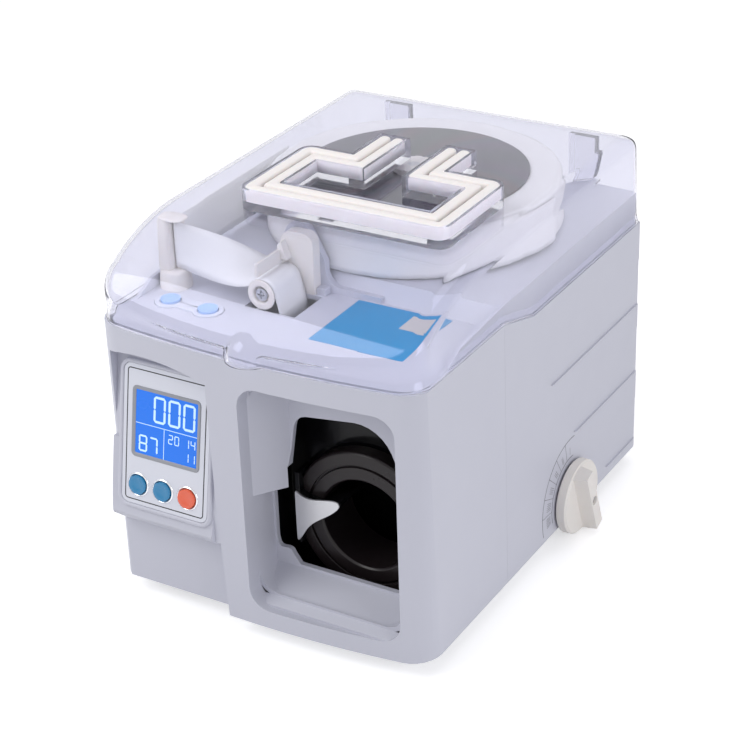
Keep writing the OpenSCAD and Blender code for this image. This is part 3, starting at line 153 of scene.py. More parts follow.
world = bpy.data.worlds.new("studio")
bpy.context.scene.world = world
world.use_nodes = True
wn, wl = world.node_tree.nodes, world.node_tree.links
wn.clear()
out = wn.new("ShaderNodeOutputWorld")
backdrop, fill = (wn.new("ShaderNodeBackground") for _ in range(2))
set_inputs(backdrop, {"Color": (1, 1, 1, 1), "Strength": 1.0})
set_inputs(fill, {"Color": (0.96, 0.96, 1.0, 1), "Strength": 0.5})
choose = wn.new("ShaderNodeMixShader")
wl.new(background_ray(world.node_tree), choose.inputs[0])
wl.new(fill.outputs[0], choose.inputs[1])
wl.new(backdrop.outputs[0], choose.inputs[2])
wl.new(choose.outputs[0], out.inputs["Surface"])


def link_mesh(name, points, faces, smooth=True):
    """A mesh object from a point array in metres and a list of faces."""
    mesh = bpy.data.meshes.new(name)
    mesh.from_pydata(np.asarray(points, float).reshape(-1, 3), [], faces)
    mesh.update()
    if smooth:
        mesh.polygons.foreach_set("use_smooth", [True] * len(mesh.polygons))
    made = bpy.data.objects.new(name, mesh)
    bpy.context.scene.collection.objects.link(made)
    return made


def node_material(name):
    """A new material with its nodes, its links and its Principled shader."""
    made = bpy.data.materials.new(name)
    made.use_nodes = True
    n, l = made.node_tree.nodes, made.node_tree.links
    return made, n, l, n["Principled BSDF"]


FLOOR_HALF, FLOOR_GLOW = 6, 0.42
floor_plan = [(-FLOOR_HALF, -FLOOR_HALF, 0), (FLOOR_HALF, -FLOOR_HALF, 0)]
floor_plan += [(-x, -y, z) for x, y, z in floor_plan]
floor = link_mesh("floor", floor_plan, [(0, 1, 2, 3)], smooth=False)
floor_skin, fn, fl, matt = node_material("white_table")
set_inputs(
    matt, {"Base Color": (0.9, 0.9, 0.91, 1), "Roughness": 0.9, "Specular IOR Level": 0.0}
)
glow = fn.new("ShaderNodeEmission")
background = background_ray(floor_skin.node_tree)
scale_glow = maths(floor_skin.node_tree, "MULTIPLY", background, FLOOR_GLOW)
both = fn.new("ShaderNodeAddShader")
fl.new(scale_glow.outputs[0], glow.inputs["Strength"])
fl.new(matt.outputs[0], both.inputs[0])
fl.new(glow.outputs[0], both.inputs[1])
fl.new(both.outputs[0], fn["Material Output"].inputs["Surface"])
floor.data.materials.append(floor_skin)

# ---------------- housing shells
# Two injection-moulded ABS shells, bluish grey with a fine spark-eroded texture, screwed to
# a steel base plate from below.  Their edges have the small radius that a mould gives.
SHELL = (0.545, 0.552, 0.625)


def moulded_surface():
    """Node group for every moulded part, in Object coordinates: Tone is slow noise about
    0.5, Patch drives the roughness, and Height is fine grain, a noise at the scale Grain."""
    group = bpy.data.node_groups.new("moulded_surface", "ShaderNodeTree")
    face = group.interface
    face.new_socket(name="Grain", in_out="INPUT", socket_type="NodeSocketFloat")
    for name in ("Tone", "Patch", "Height"):
        face.new_socket(name=name, in_out="OUTPUT", socket_type="NodeSocketFloat")
    n, l = group.nodes, group.links
    source, sink = n.new("NodeGroupInput"), n.new("NodeGroupOutput")
    where = n.new("ShaderNodeTexCoord")
    slow, middle, fine = (n.new("ShaderNodeTexNoise") for _ in range(3))
    set_inputs(slow, {"Scale": 14.0, "Detail": 3.0})
    set_inputs(middle, {"Scale": 60.0, "Detail": 4.0})
    set_inputs(fine, {"Detail": 2.0})
    for noise in (slow, middle, fine):
        l.new(where.outputs["Object"], noise.inputs["Vector"])
    l.new(source.outputs["Grain"], fine.inputs["Scale"])
    l.new(slow.outputs["Fac"], sink.inputs["Tone"])
    l.new(middle.outputs["Fac"], sink.inputs["Patch"])
    l.new(fine.outputs["Fac"], sink.inputs["Height"])
    return group


surface_group = moulded_surface()


# The colour sockets of a Mix node, which has sockets of the same names for other types.
MIX_A, MIX_B, MIX_RESULT = 6, 7, 2
ROUGH_SPREAD = 0.07


def moulding(name, colour, rough, grain, depth, tone, coat=0.0, metal=0.0, glint=0.5):
    """Principled material over the moulded_surface group: the colour varies by tone, the
    roughness by ROUGH_SPREAD, and the grain is a bump depth metres high."""
    made, n, l, shader = node_material(name)
    set_inputs(shader, {"Metallic": metal, "Specular IOR Level": glint})
    set_inputs(shader, {"Coat Weight": coat, "Coat Roughness": 0.08})
    skin = n.new("ShaderNodeGroup")
    skin.node_tree = surface_group
    set_inputs(skin, {"Grain": grain})
    mix = n.new("ShaderNodeMix")
    mix.data_type = "RGBA"
    dark = (*(c * (1 - tone) for c in colour), 1)
    light = (*(min(c * (1 + tone), 1) for c in colour), 1)
    set_inputs(mix, {MIX_A: dark, MIX_B: light})
    l.new(skin.outputs["Tone"], mix.inputs[0])
    l.new(mix.outputs[MIX_RESULT], shader.inputs["Base Color"])
    gloss = n.new("ShaderNodeMapRange")
    low, high = max(rough - ROUGH_SPREAD, 0.02), rough + ROUGH_SPREAD
    set_inputs(gloss, {"To Min": low, "To Max": high})
    l.new(skin.outputs["Patch"], gloss.inputs["Value"])
    l.new(gloss.outputs["Result"], shader.inputs["Roughness"])
    bump = set_inputs(n.new("ShaderNodeBump"), {"Strength": 1.0, "Distance": depth})
    l.new(skin.outputs["Height"], bump.inputs["Height"])
    l.new(bump.outputs["Normal"], shader.inputs["Normal"])
    return made


def finish_node(name, material, edge=0.0):
    """A CAD node keeps its mesh: it gets its material, and where edge is above 0 its loose
    triangles are welded and every edge over 30 degrees is rounded by edge metres."""
    piece = node[name]
    piece.data.materials.clear()
    piece.data.materials.append(material)
    if edge > 0:
        weld = piece.modifiers.new("weld", "WELD")
        weld.merge_threshold = 0.000005
        rounding = piece.modifiers.new("rounding", "BEVEL")
        rounding.width = edge
        rounding.segments = 2
        rounding.limit_method = "ANGLE"
        rounding.angle_limit = math.radians(30)
        rounding.harden_normals = True
        piece.data.polygons.foreach_set("use_smooth", [True] * len(piece.data.polygons))
        evened = piece.modifiers.new("evened", "WEIGHTED_NORMAL")
        evened.keep_sharp = True


shell_skin = moulding("shell_plastic", SHELL, 0.42, 1400.0, 0.000007, 0.015)
for name in ("front_shell", "rear_shell", "top_deck"):
    finish_node(name, shell_skin, 0.0005)

# ---------------- clear cover
# One clear acrylic moulding, 2 mm thick: a vertical rim with three small steps, a long
# curved nose, a flat roof, and a hollow finger tab in the middle of the rim.
BOW, CORNER_R, REAR_R = 7.5, 16.0, 7.0
SEAM, SEAM_DROP, SPLIT, STEP_END = 146.0, 9.0, 83.0, 115.0
ROOF, NOSE, RIM_HALF, RIM_GAP, WALL = 188.5, 73.0, 90.0, 0.4, 2.0
TAB_R = 13.0


def plan_loop():
    """Points of the rim in plan and their outward normals, in mm: the bowed front, a round
    corner, the side, the rear corner and half of the rear, then the same mirrored."""
    slope = math.degrees(math.atan(2 * BOW / HALF_W))
    w = RIM_HALF
    fx = w - CORNER_R + CORNER_R * math.sin(math.radians(slope))
    x = np.concatenate([np.linspace(0, 14, 21), np.linspace(14, fx, 24)[1:]])
    y = -BOW * (1 - (x / HALF_W) ** 2)
    tilt = np.arctan(2 * BOW * x / HALF_W**2)
    front = np.c_[x, y, np.sin(tilt), -np.cos(tilt)]
    fy = -BOW * (1 - (fx / HALF_W) ** 2) + CORNER_R * math.cos(math.radians(slope))
    a = np.radians(np.linspace(-90 + slope, 0, 15)[1:])
    c, s = np.cos(a), np.sin(a)
    corner = np.c_[w - CORNER_R + CORNER_R * c, fy + CORNER_R * s, c, s]
    stretches = ((fy, SPLIT, 26), (SPLIT, STEP_END, 9), (STEP_END, DEPTH - REAR_R, 26))
    y = np.concatenate([np.linspace(*stretch)[1:] for stretch in stretches])
    side = np.c_[np.full_like(y, w), y, np.ones_like(y), np.zeros_like(y)]
    a = np.radians(np.linspace(0, 90, 9)[1:])
    c, s = np.cos(a), np.sin(a)
    rear_corner = np.c_[w - REAR_R + REAR_R * c, DEPTH - REAR_R + REAR_R * s, c, s]
    x = np.linspace(w - REAR_R, 0, 16)[1:]
    rear = np.c_[x, np.full_like(x, DEPTH), np.zeros_like(x), np.ones_like(x)]
    half = np.concatenate([front, corner, side, rear_corner, rear])
    other = half[-2:0:-1] * [-1, 1, -1, 1]
    return np.concatenate([half, other])


def smooth_step(v, lo, hi):
    """0 below lo, 1 above hi, and 3t^2 - 2t^3 between."""
    t = np.clip((v - lo) / (hi - lo), 0, 1)
    return t * t * (3 - 2 * t)


def nose_height(y):
    """Height of the cover over a point y behind the front corners: a sine curve over the
    nose, raised to the power 1.2, then the flat roof."""
    a = np.arccos(np.clip((NOSE - 8 - y) / (NOSE + 2), 0, 1))
    return SEAM + (ROOF - SEAM) * np.sin(a) ** 1.2


def seam_height(y):
    """The stepped seam: level, down a straight ramp, and level again."""
    return SEAM - SEAM_DROP * np.clip((y - SPLIT) / (STEP_END - SPLIT), 0, 1)


LOOP = plan_loop()
AT_REAR_CORNER = (LOOP[:, 1] > DEPTH - REAR_R) & (LOOP[:, 3] > 0.001)
AT_REAR_CORNER &= np.abs(LOOP[:, 0]) > RIM_HALF - REAR_R
AT_REAR = (LOOP[:, 3] > 0.999) & ~AT_REAR_CORNER


def inset_plan(front, side, rear):
    """The plan loop moved inwards by its own inset on each wall.  A front corner blends
    its two insets by direction; a rear corner is redrawn as an arc of at least 2.5 mm, and
    the side behind the ramp is shortened to meet it."""
    at, out_dir = LOOP[:, :2], LOOP[:, 2:]
    to_front = np.clip(-out_dir[:, 1], 0, 1)
    points = at - out_dir * (side + (front - side) * to_front)[:, None]
    r = max(REAR_R - (side + rear) / 2, 2.5)
    x, y = RIM_HALF - side - r, DEPTH - rear - r
    sign = np.sign(at[:, 0])
    turned = np.c_[sign * x + out_dir[:, 0] * r, y + out_dir[:, 1] * r]
    points = np.where(AT_REAR_CORNER[:, None], turned, points)
    straight = np.c_[at[:, 0] * x / (RIM_HALF - REAR_R), np.full(len(at), DEPTH - rear)]
    points = np.where(AT_REAR[:, None], straight, points)
    behind = (at[:, 1] > STEP_END) & (out_dir[:, 1] == 0)
    squeeze = STEP_END + (at[:, 1] - STEP_END) * (y - STEP_END) / (DEPTH - REAR_R - STEP_END)
    points[:, 1] = np.where(behind, squeeze, points[:, 1])
    return points


def cover_grid():
    """Rows from the rim to the middle of the roof, columns round the plan.  Each row is an
    inset plan: rim steps, a leaning wall, a quarter circle of its own radius on each wall,
    and then straight towards a middle line, on the surface nose_height(y).  The finger tab
    is where a sphere of radius TAB_R about the rim's middle stands further out."""
    to_front = np.clip(-LOOP[:, 3], 0, 1)
    radius = 8 - 4.5 * to_front**2
    rim = seam_height(LOOP[:, 1]) + RIM_GAP
    top_at = inset_plan(0.0, 1.1, 5.0)
    crease = nose_height(top_at[:, 1]) - radius
    shrink = np.minimum(1, (crease - rim) / 5.0)
    rows = []
    steps = ((0, 0), (1.3, 0), (1.6, 0.36), (3.0, 0.36), (3.3, 0.72), (4.4, 0.72), (4.7, 0.96))
    for rise, inset in steps:
        rows.append(np.c_[inset_plan(inset, inset, inset), rim + rise * shrink])
    start = rim + 4.7 * shrink
    for t in (0.35, 0.7, 1.0):
        k = 0.96 * (1 - t)
        rows.append(np.c_[inset_plan(k, k + 1.1 * t, k + 5.0 * t), start + (crease - start) * t])
    for phi in np.radians(np.linspace(0, 90, 9)[1:]):
        turn_in, climb = 1 - math.cos(phi), 1 - math.sin(phi)
        plan = inset_plan(3.5 * turn_in, 1.1 + 8 * turn_in, 5 + 8 * turn_in)
        rows.append(np.c_[plan, nose_height(plan[:, 1]) - radius * climb])
    edge = rows[-1][:, :2]
    spine = np.c_[np.zeros(len(LOOP)), np.clip(LOOP[:, 1], 75, DEPTH - 40)]
    for t in np.linspace(0, 1, 26)[1:] ** 1.35:
        plan = edge + (spine - edge) * t
        rows.append(np.c_[plan, nose_height(plan[:, 1])])
    grid = np.stack(rows)
    x, y, z = grid[..., 0], grid[..., 1], grid[..., 2]
    reach = TAB_R**2 - x**2 - (z - SEAM - 2) ** 2
    bulge = np.where((reach > 0) & (y < 20), np.minimum(y, -np.sqrt(np.maximum(reach, 0))), y)
    grid[..., 1] = bulge
    return grid


def ring_faces(rows, columns, closed=True):
    """Quads of a grid whose columns may close on themselves, row after row outwards."""
    across = columns if closed else columns - 1
    r, c = np.meshgrid(np.arange(rows - 1), np.arange(across), indexing="ij")
    n = (c + 1) % columns
    low, high = r * columns, (r + 1) * columns
    return np.stack([low + c, low + n, high + n, high + c], -1).reshape(-1, 4).tolist()


def thicken(piece, name, thickness, offset):
    """A surface made solid, by a thickness in metres: half on each side where offset is 0,
    all behind the face where it is -1."""
    solid = piece.modifiers.new(name, "SOLIDIFY")
    solid.thickness, solid.offset = thickness, offset
    return solid


cover_points = cover_grid()
cover = link_mesh("clear_cover_skin", place(cover_points), ring_faces(*cover_points.shape[:2]))
merge = cover.modifiers.new("merge", "WELD")
merge.merge_threshold = 0.00005
thicken(cover, "thick", WALL * MM, -1).use_quality_normals = True


def clear_plastic(name, tint, rough, veil, bend=1.49):
    """Clear moulded acrylic: a transmitting Principled shader that lets shadow rays pass,
    with faint smears in its roughness, and veil as the share of white haze."""
    made, n, l, shader = node_material(name)
    set_inputs(shader, {"Base Color": (*tint, 1), "Transmission Weight": 1.0, "IOR": bend})
    set_inputs(shader, {"Specular Tint": (0.55, 0.56, 0.62, 1)})
    where = n.new("ShaderNodeTexCoord")
    smear = set_inputs(n.new("ShaderNodeTexNoise"), {"Scale": 35.0, "Detail": 5.0})
    gloss = n.new("ShaderNodeMapRange")
    set_inputs(gloss, {"To Min": rough, "To Max": rough + 0.03})
    l.new(where.outputs["Object"], smear.inputs["Vector"])
    l.new(smear.outputs["Fac"], gloss.inputs["Value"])
    l.new(gloss.outputs["Result"], shader.inputs["Roughness"])
    haze = set_inputs(n.new("ShaderNodeBsdfDiffuse"), {"Color": (0.80, 0.82, 0.90, 1)})
    hazy = set_inputs(n.new("ShaderNodeMixShader"), {0: veil})
    l.new(shader.outputs[0], hazy.inputs[1])
    l.new(haze.outputs[0], hazy.inputs[2])
    passing = n.new("ShaderNodeBsdfTransparent")
    set_inputs(passing, {"Color": (*(0.5 + 0.5 * c for c in tint), 1)})
    ray = n.new("ShaderNodeLightPath")
    pick = n.new("ShaderNodeMixShader")
    l.new(ray.outputs["Is Shadow Ray"], pick.inputs[0])
    l.new(hazy.outputs[0], pick.inputs[1])
    l.new(passing.outputs[0], pick.inputs[2])
    l.new(pick.outputs[0], n["Material Output"].inputs["Surface"])
    return made


clear_skin = clear_plastic("clear_acrylic", (0.83, 0.83, 0.895), 0.0, 0.02)
cover.data.materials.append(clear_skin)
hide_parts("clear_cover")
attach(cover, "cover")


def prism(outline, axis, start, stop, soft=0.3):
    """An outline in the two other axes carried along axis: drawn in by soft at both ends,
    so that the end edges are chamfered.  Returns points in mm and faces."""
    o = np.asarray(outline, float)
    if np.sum(o[:, 0] * np.roll(o[:, 1], -1) - np.roll(o[:, 0], -1) * o[:, 1]) < 0:
        o = o[::-1]
    if axis == 1:
        o = o[::-1]
    middle = o.mean(0)
    small = middle + (o - middle) * (1 - soft / np.abs(o - middle).max(0))
    levels = [(small, start), (o, start + soft), (o, stop - soft), (small, stop)]
    rows = [np.insert(ring, axis, level_at, axis=1) for ring, level_at in levels]
    n = len(o)
    faces = ring_faces(4, n) + [list(range(n))[::-1], list(range(3 * n, 4 * n))]
    return np.concatenate(rows), faces


HINGE_X, HINGE_Y, HINGE_Z = 57.0, DEPTH + 4.3, SEAM - SEAM_DROP
BARREL_R, BARREL_HALF = 4.0, 6.0
IN_WALL = DEPTH - 1.6
a = np.radians(np.linspace(180, 450, 22)[1:])
barrel = [
    (IN_WALL, HINGE_Z + 1.0),
    (HINGE_Y - BARREL_R, HINGE_Z + 0.8),
    *np.c_[HINGE_Y + BARREL_R * np.cos(a), HINGE_Z + BARREL_R * np.sin(a)],
    (IN_WALL, HINGE_Z + BARREL_R),
]
LUG = ((-8, 1.9), (-8, 6.5), (-4, 6.5), (-4, 8.5), (8, 8.5), (8, 1.9))
for side, sign in (("left", -1), ("right", 1)):
    x = sign * HINGE_X
    lug = [(x + dx, DEPTH - dy) for dx, dy in LUG]
    for kind, (points, faces) in (
        ("barrel", prism(barrel, 0, x - BARREL_HALF, x + BARREL_HALF)),
        ("lug", prism(lug, 2, SEAM + 10, ROOF - 7)),
    ):
        piece = link_mesh(f"cover_{kind}_{side}", place(points), faces, smooth=False)
        piece.data.materials.append(clear_skin)
        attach(piece, "cover")

# ---------------- bundle rest
# A clear channel glued to the roof, with two soft cream strips pressed into it side by
# side.  The strips are extruded and bent round the corners, with round tops and ends.
rest_skin = clear_plastic("clear_channel", (0.84, 0.84, 0.90), 0.02, 0.08, 1.22)
finish_node("bundle_rest", rest_skin, 0.0003)
REST_X, REST_Y, REST_W, REST_D, PRONG = 11.5, 95.5, 116.0, 65.0, 30.0
REST_WALL, STRIP_W, REST_FLOOR, REST_H = 1.6, 5.9, 4.0, 11.0
BAND = 2 * REST_WALL + 2 * STRIP_W + 2
PRONG_X, PRONG_GAP, REST_R = REST_X - 3, 21.4, 7.0


def rest_path(d):
    """The way round the rest at a distance d inside its outer edge, from one prong's end
    to the other's, with the four outer corners as arcs and the two inner ones as small arcs."""
    x0, x1 = REST_X - REST_W / 2 + d, REST_X + REST_W / 2 - d
    y0, y1 = REST_Y - REST_D / 2 + d, REST_Y + REST_D / 2 - d
    a = PRONG_X - PRONG_GAP / 2 - BAND + d
    b = PRONG_X + PRONG_GAP / 2 + BAND - d
    far = REST_Y + REST_D / 2 + PRONG
    r = max(REST_R - d, 1.0)
    s = 0.5 + 0.12 * d

    def arc(cx, cy, radius, start, stop):
        """Nine points of an arc between two angles in degrees."""
        t = np.radians(np.linspace(start, stop, 9))
        return np.c_[cx + radius * np.cos(t), cy + radius * np.sin(t)]

    return np.concatenate(
        [
            np.c_[np.full(6, a), np.linspace(far, y1 + s + 1, 6)],
            arc(a - s, y1 + s, s, 0, -90),
            arc(x0 + r, y1 - r, r, 90, 180),
            arc(x0 + r, y0 + r, r, 180, 270),
            arc(x1 - r, y0 + r, r, 270, 360),
            arc(x1 - r, y1 - r, r, 0, 90),
            arc(b + s, y1 + s, s, 270, 180),
            np.c_[np.full(6, b), np.linspace(y1 + s + 1, far, 6)],
        ]
    )


def strip_grid(d_mid):
    """A half-oval profile carried along rest_path: the profile's distance from the middle
    picks the path, and both ends shrink over a quarter circle to a round nose."""
    half, foot_z = STRIP_W / 2 - 0.05, ROOF + REST_FLOOR
    top_z = ROOF + REST_H + 0.4
    t = np.linspace(0, math.pi, 15)
    side = np.sign(np.cos(t)) * np.abs(np.cos(t)) ** 0.6
    lift = np.sin(t) ** 0.75
    shoulder = top_z - 2.6
    crown = np.c_[side, shoulder + (top_z - shoulder) * lift]
    profile = np.concatenate([[[1, foot_z]], crown, [[-1, foot_z]]])
    paths = np.stack([rest_path(d_mid - p * half) for p, _ in profile])
    heights = np.repeat(profile[:, 1][:, None, None], paths.shape[1], 1)
    grid = np.concatenate([paths, heights], 2)
    ends = np.radians(np.linspace(0, 90, 7))
    middle = rest_path(d_mid)
    blunt = REST_WALL + 0.3 + half
    grid[:, 0, 1] = grid[:, -1, 1] = middle[0, 1] - blunt
    first, last = grid[:, :1], grid[:, -1:]

    def nose(section, x_mid):
        """Copies of an end section, each narrower, lower and further out."""
        made = []
        for e in ends[1:]:
            copy = section.copy()
            copy[..., 0] = x_mid + (section[..., 0] - x_mid) * math.cos(e)
            copy[..., 1] = section[..., 1] + half * math.sin(e)
            copy[..., 2] = foot_z + (section[..., 2] - foot_z) * (0.75 + 0.25 * math.cos(e))
            made.append(copy)
        return made

    front = nose(first, middle[0, 0])[::-1]
    rear = nose(last, middle[-1, 0])
    return np.concatenate([*front, grid, *rear], 1)


def let_light_in(material, weight, reach):
    """Light scatters under the skin, as far as reach in metres for red, green and blue."""
    shader = material.node_tree.nodes["Principled BSDF"]
    set_inputs(shader, {"Subsurface Weight": weight, "Subsurface Radius": reach})


cream_soft = moulding("cream_strip", (0.93, 0.885, 0.865), 0.5, 700.0, 0.00002, 0.02)
let_light_in(cream_soft, 0.15, (0.003, 0.002, 0.0015))
STRIP_GAP = 0.1
for name, d_mid in (
    ("rest_strip_outer", REST_WALL + STRIP_GAP + STRIP_W / 2),
    ("rest_strip_inner", BAND - REST_WALL - STRIP_GAP - STRIP_W / 2),
):
    grid = strip_grid(d_mid)
    grid = np.concatenate([grid, grid[:1]])
    faces = [f[::-1] for f in ring_faces(*grid.shape[:2], closed=False)]
    strip = link_mesh(name + "_round", place(grid), faces)
    strip.data.materials.append(cream_soft)
    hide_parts(name)
    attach(strip, "cover")

# ---------------- tape roll
# Paper tape wound on a card core on a platter, held down by a dark polished disc and a
# notched nut.  The outer turns stand a little uneven, and one turn has come loose.
ROLL_R, ROLL_ROOM, TAPE_W = 76.5, 10.7, 24.6
ROLL_X, ROLL_Y = -1.0, DEPTH - ROLL_R - ROLL_ROOM
ROLL_Z = (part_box("tape_roll")[0].z - origin[2]) / MM
DISC_R, CORE_R = 60.0, 30.0
PAPER = (0.80, 0.79, 0.79)
paper = moulding("binding_paper", PAPER, 0.75, 260.0, 0.00005, 0.03, glint=0.25)


def from_roll_axis(tree):
    """A VectorMath node that takes the roll's middle from the Object coordinates."""
    where = tree.nodes.new("ShaderNodeTexCoord").outputs["Object"]
    middle = Vector(place((ROLL_X, ROLL_Y, ROLL_Z)))
    return maths(tree, "SUBTRACT", where, middle, kind="VectorMath")


def wound_paper(name):
    """Paper seen on the edge of its turns: rings of slightly different tone, by a noise of
    the distance from the roll's axis."""
    made = moulding(name, PAPER, 0.8, 500.0, 0.00003, 0.02, glint=0.2)
    n, l = made.node_tree.nodes, made.node_tree.links
    centre = from_roll_axis(made.node_tree)
    flat = maths(made.node_tree, "MULTIPLY", centre.outputs[0], (1, 1, 0), kind="VectorMath")
    size = maths(made.node_tree, "LENGTH", flat.outputs[0], kind="VectorMath")
    turns = set_inputs(n.new("ShaderNodeTexNoise"), {"Scale": 1500.0, "Detail": 3.0})
    turns.noise_dimensions = "1D"
    l.new(size.outputs["Value"], turns.inputs["W"])
    tone = n.new("ShaderNodeMix")
    tone.data_type, tone.blend_type = "RGBA", "MULTIPLY"
    set_inputs(tone, {0: 0.5})
    ramp = n.new("ShaderNodeMapRange")
    set_inputs(ramp, {"From Min": 0.3, "From Max": 0.7, "To Min": 0.84, "To Max": 1.0})
    l.new(turns.outputs["Fac"], ramp.inputs["Value"])
    skin_colour = n["Principled BSDF"].inputs["Base Color"]
    l.new(skin_colour.links[0].from_socket, tone.inputs[MIX_A])
    l.new(ramp.outputs["Result"], tone.inputs[MIX_B])
    l.new(tone.outputs[MIX_RESULT], skin_colour)
    return made


def roll_grid():
    """A revolved profile: up the outside, over the top towards the disc.  The outer turns
    wander in height by a few tenths with the angle, more towards the rim."""
    a = np.linspace(0, 2 * math.pi, 241)[:-1]
    wander = 0.35 * np.sin(3 * a + 0.6) + 0.25 * np.sin(7 * a + 2.0) + 0.15 * np.sin(13 * a)
    high = TAPE_W - 1.4
    under, wall = [CORE_R, ROLL_R - 1.4, ROLL_R - 0.5], np.full(5, ROLL_R)
    top = np.linspace(ROLL_R - 3, DISC_R + 1, 12)
    radii = np.concatenate([under, wall, under[:0:-1], top, [DISC_R - 2, CORE_R]])
    under, wall, edge = [0, 0, 0.3], np.linspace(1.2, high, 5), [TAPE_W - 0.5, TAPE_W - 0.1]
    top = TAPE_W - np.linspace(0.1, 1.0, 12)
    heights = np.concatenate([under, wall, edge, top, [high, high]])
    share = np.clip((radii - DISC_R) / (ROLL_R - DISC_R), 0, 1) ** 1.5 * (heights > TAPE_W / 2)
    r = radii[:, None] + 0.10 * np.sin(5 * a + 1)[None] * (radii[:, None] > ROLL_R - 2)
    z = heights[:, None] + 0.5 * (wander - wander.max())[None] * share[:, None]
    return np.stack([ROLL_X + r * np.cos(a), ROLL_Y + r * np.sin(a), ROLL_Z + z], -1)


grid = roll_grid()
grid = np.concatenate([grid, grid[:1]])
roll = link_mesh("wound_tape", place(grid), ring_faces(*grid.shape[:2]))


def crisp_edges(piece, degrees):
    """Edges that turn by more than some degrees stay sharp in the shading."""
    split = piece.modifiers.new("crisp", "EDGE_SPLIT")
    split.split_angle = math.radians(degrees)


crisp_edges(roll, 50)
roll.data.materials.append(wound_paper("wound_paper"))
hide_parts("tape_roll")
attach(roll, "roll")


def loose_turn():
    """The outermost turn, from the left round the front to the right: it sags towards its
    free end and its lower edge is frayed, as noise made of sines of rising pitch."""
    a = np.radians(np.linspace(-168, 2, 220))
    t = (a - a[0]) / (a[-1] - a[0])
    gap = 0.25 + 0.9 * smooth_step(t, 0.35, 0.75) + 0.8 * smooth_step(t, 0.85, 1.0)
    r = ROLL_R + gap
    fray = 0.22 * np.sin(17 * a) + 0.16 * np.sin(41 * a + 1) + 0.1 * np.sin(97 * a)
    sag = 1.1 * np.exp(-(((t - 0.62) / 0.13) ** 2)) + 0.5 * np.exp(-(((t - 0.8) / 0.05) ** 2))
    low = ROLL_Z - sag + np.abs(fray) * (0.3 + smooth_step(t, 0.3, 0.6)) + 0.1
    high = ROLL_Z + TAPE_W - 0.4 - 0.9 * smooth_step(t, 0.5, 1.0) + 0.1 * np.sin(9 * a)
    v = np.linspace(0, 1, 9)[:, None]
    z = low[None] * (1 - v) + high[None] * v
    lean = 0.5 * np.sin(math.pi * v) * smooth_step(t, 0.4, 0.9)[None]
    r = r[None] + lean
    return np.stack([ROLL_X + r * np.cos(a)[None], ROLL_Y + r * np.sin(a)[None], z], -1)


grid = loose_turn()
turn_piece = link_mesh("loose_turn", place(grid), ring_faces(*grid.shape[:2], closed=False))
thicken(turn_piece, "sheet", 0.00015, 0)
turn_piece.data.materials.append(paper)
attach(turn_piece, "roll")


def polished_disc():
    """Dark disc with a painted rainbow sheen: three soft wedges of hue round its axis, which
    turn a little with the distance from it, over near-black metal under a thin coat."""
    made, n, l, shader = node_material("polished_disc")
    set_inputs(shader, {"Metallic": 0.85, "Coat Weight": 0.2, "Coat Roughness": 0.03})
    tree = made.node_tree
    centre = from_roll_axis(tree)
    apart = n.new("ShaderNodeSeparateXYZ")
    l.new(centre.outputs[0], apart.inputs[0])
    angle = maths(tree, "ARCTAN2", apart.outputs["Y"], apart.outputs["X"])
    size = maths(tree, "LENGTH", centre.outputs[0], kind="VectorMath")
    swirl = maths(tree, "MULTIPLY_ADD", size.outputs["Value"], 14.0, angle.outputs[0])
    triple = maths(tree, "MULTIPLY", swirl.outputs[0], 3.0)
    wave = maths(tree, "SINE", triple.outputs[0])
    # Painted sheen: the disc's rainbow reflection, set into the base colour as fixed wedges.
    painted_sheen = n.new("ShaderNodeValToRGB")
    stops = [
        (0.0, (0.014, 0.014, 0.040)),
        (0.35, (0.050, 0.016, 0.078)),
        (0.55, (0.016, 0.034, 0.065)),
        (0.75, (0.070, 0.020, 0.042)),
        (1.0, (0.026, 0.040, 0.036)),
    ]
    while len(painted_sheen.color_ramp.elements) < len(stops):
        painted_sheen.color_ramp.elements.new(0.5)
    for element, (spot, colour) in zip(painted_sheen.color_ramp.elements, stops):
        element.position = spot
        element.color = (*colour, 1)
    centred = set_inputs(n.new("ShaderNodeMapRange"), {"From Min": -1.0})
    l.new(wave.outputs[0], centred.inputs["Value"])
    l.new(centred.outputs["Result"], painted_sheen.inputs["Fac"])
    l.new(painted_sheen.outputs["Color"], shader.inputs["Base Color"])
    set_inputs(shader, {"Roughness": 0.28})
    return made


finish_node("roll_disc", polished_disc(), 0.0003)
cream = moulding("cream_moulding", (0.80, 0.765, 0.725), 0.5, 1100.0, 0.000015, 0.025)
let_light_in(cream, 0.08, (0.002, 0.0015, 0.001))
card = moulding("pressed_card", (0.46, 0.35, 0.23), 0.85, 400.0, 0.00005, 0.08)
steel = moulding("zinc_plated_steel", (0.60, 0.61, 0.63), 0.3, 1200.0, 0.000006, 0.04, metal=1.0)
finish_node("roll_hub_nut", cream, 0.0003)
finish_node("roll_platter", cream, 0.0002)
finish_node("roll_core", card)
finish_node("roll_spindle", steel)

# ---------------- tape path
# The tape runs beside the roll to a post, turns on its pin, twists by a quarter turn,
# dips under a hold-down plate and goes over a flanged roller into the slot.
POST_X, POST_Y, BEND_R = -HALF_W + 14.5, 50.0, 2.6
BEND_X, BEND_Y = POST_X + 3.2, POST_Y + 2.0
SLOT_X = HALF_W - 14 - 82.5 - 7
GUIDE_R = 7.8
GUIDE_X, GUIDE_Z = SLOT_X - 10.3, SEAM + GUIDE_R + 0.7
WEB_W = TAPE_W - 0.4
WEB_Y = 45.7 + WEB_W / 2
WEB_END = (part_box("tape_web")[0].z - origin[2]) / MM
WEB_LOW, WEB_HIGH = ROLL_Z + 0.3, ROLL_Z + 0.3 + WEB_W
WEB_OFF = 0.45


def bezier(a, b, c, d, t):
    """Cubic curve through a and d with handles b and c, for an array of t."""
    t = t[:, None]
    return (1 - t) ** 3 * a + 3 * (1 - t) ** 2 * t * b + 3 * (1 - t) * t**2 * c + t**3 * d


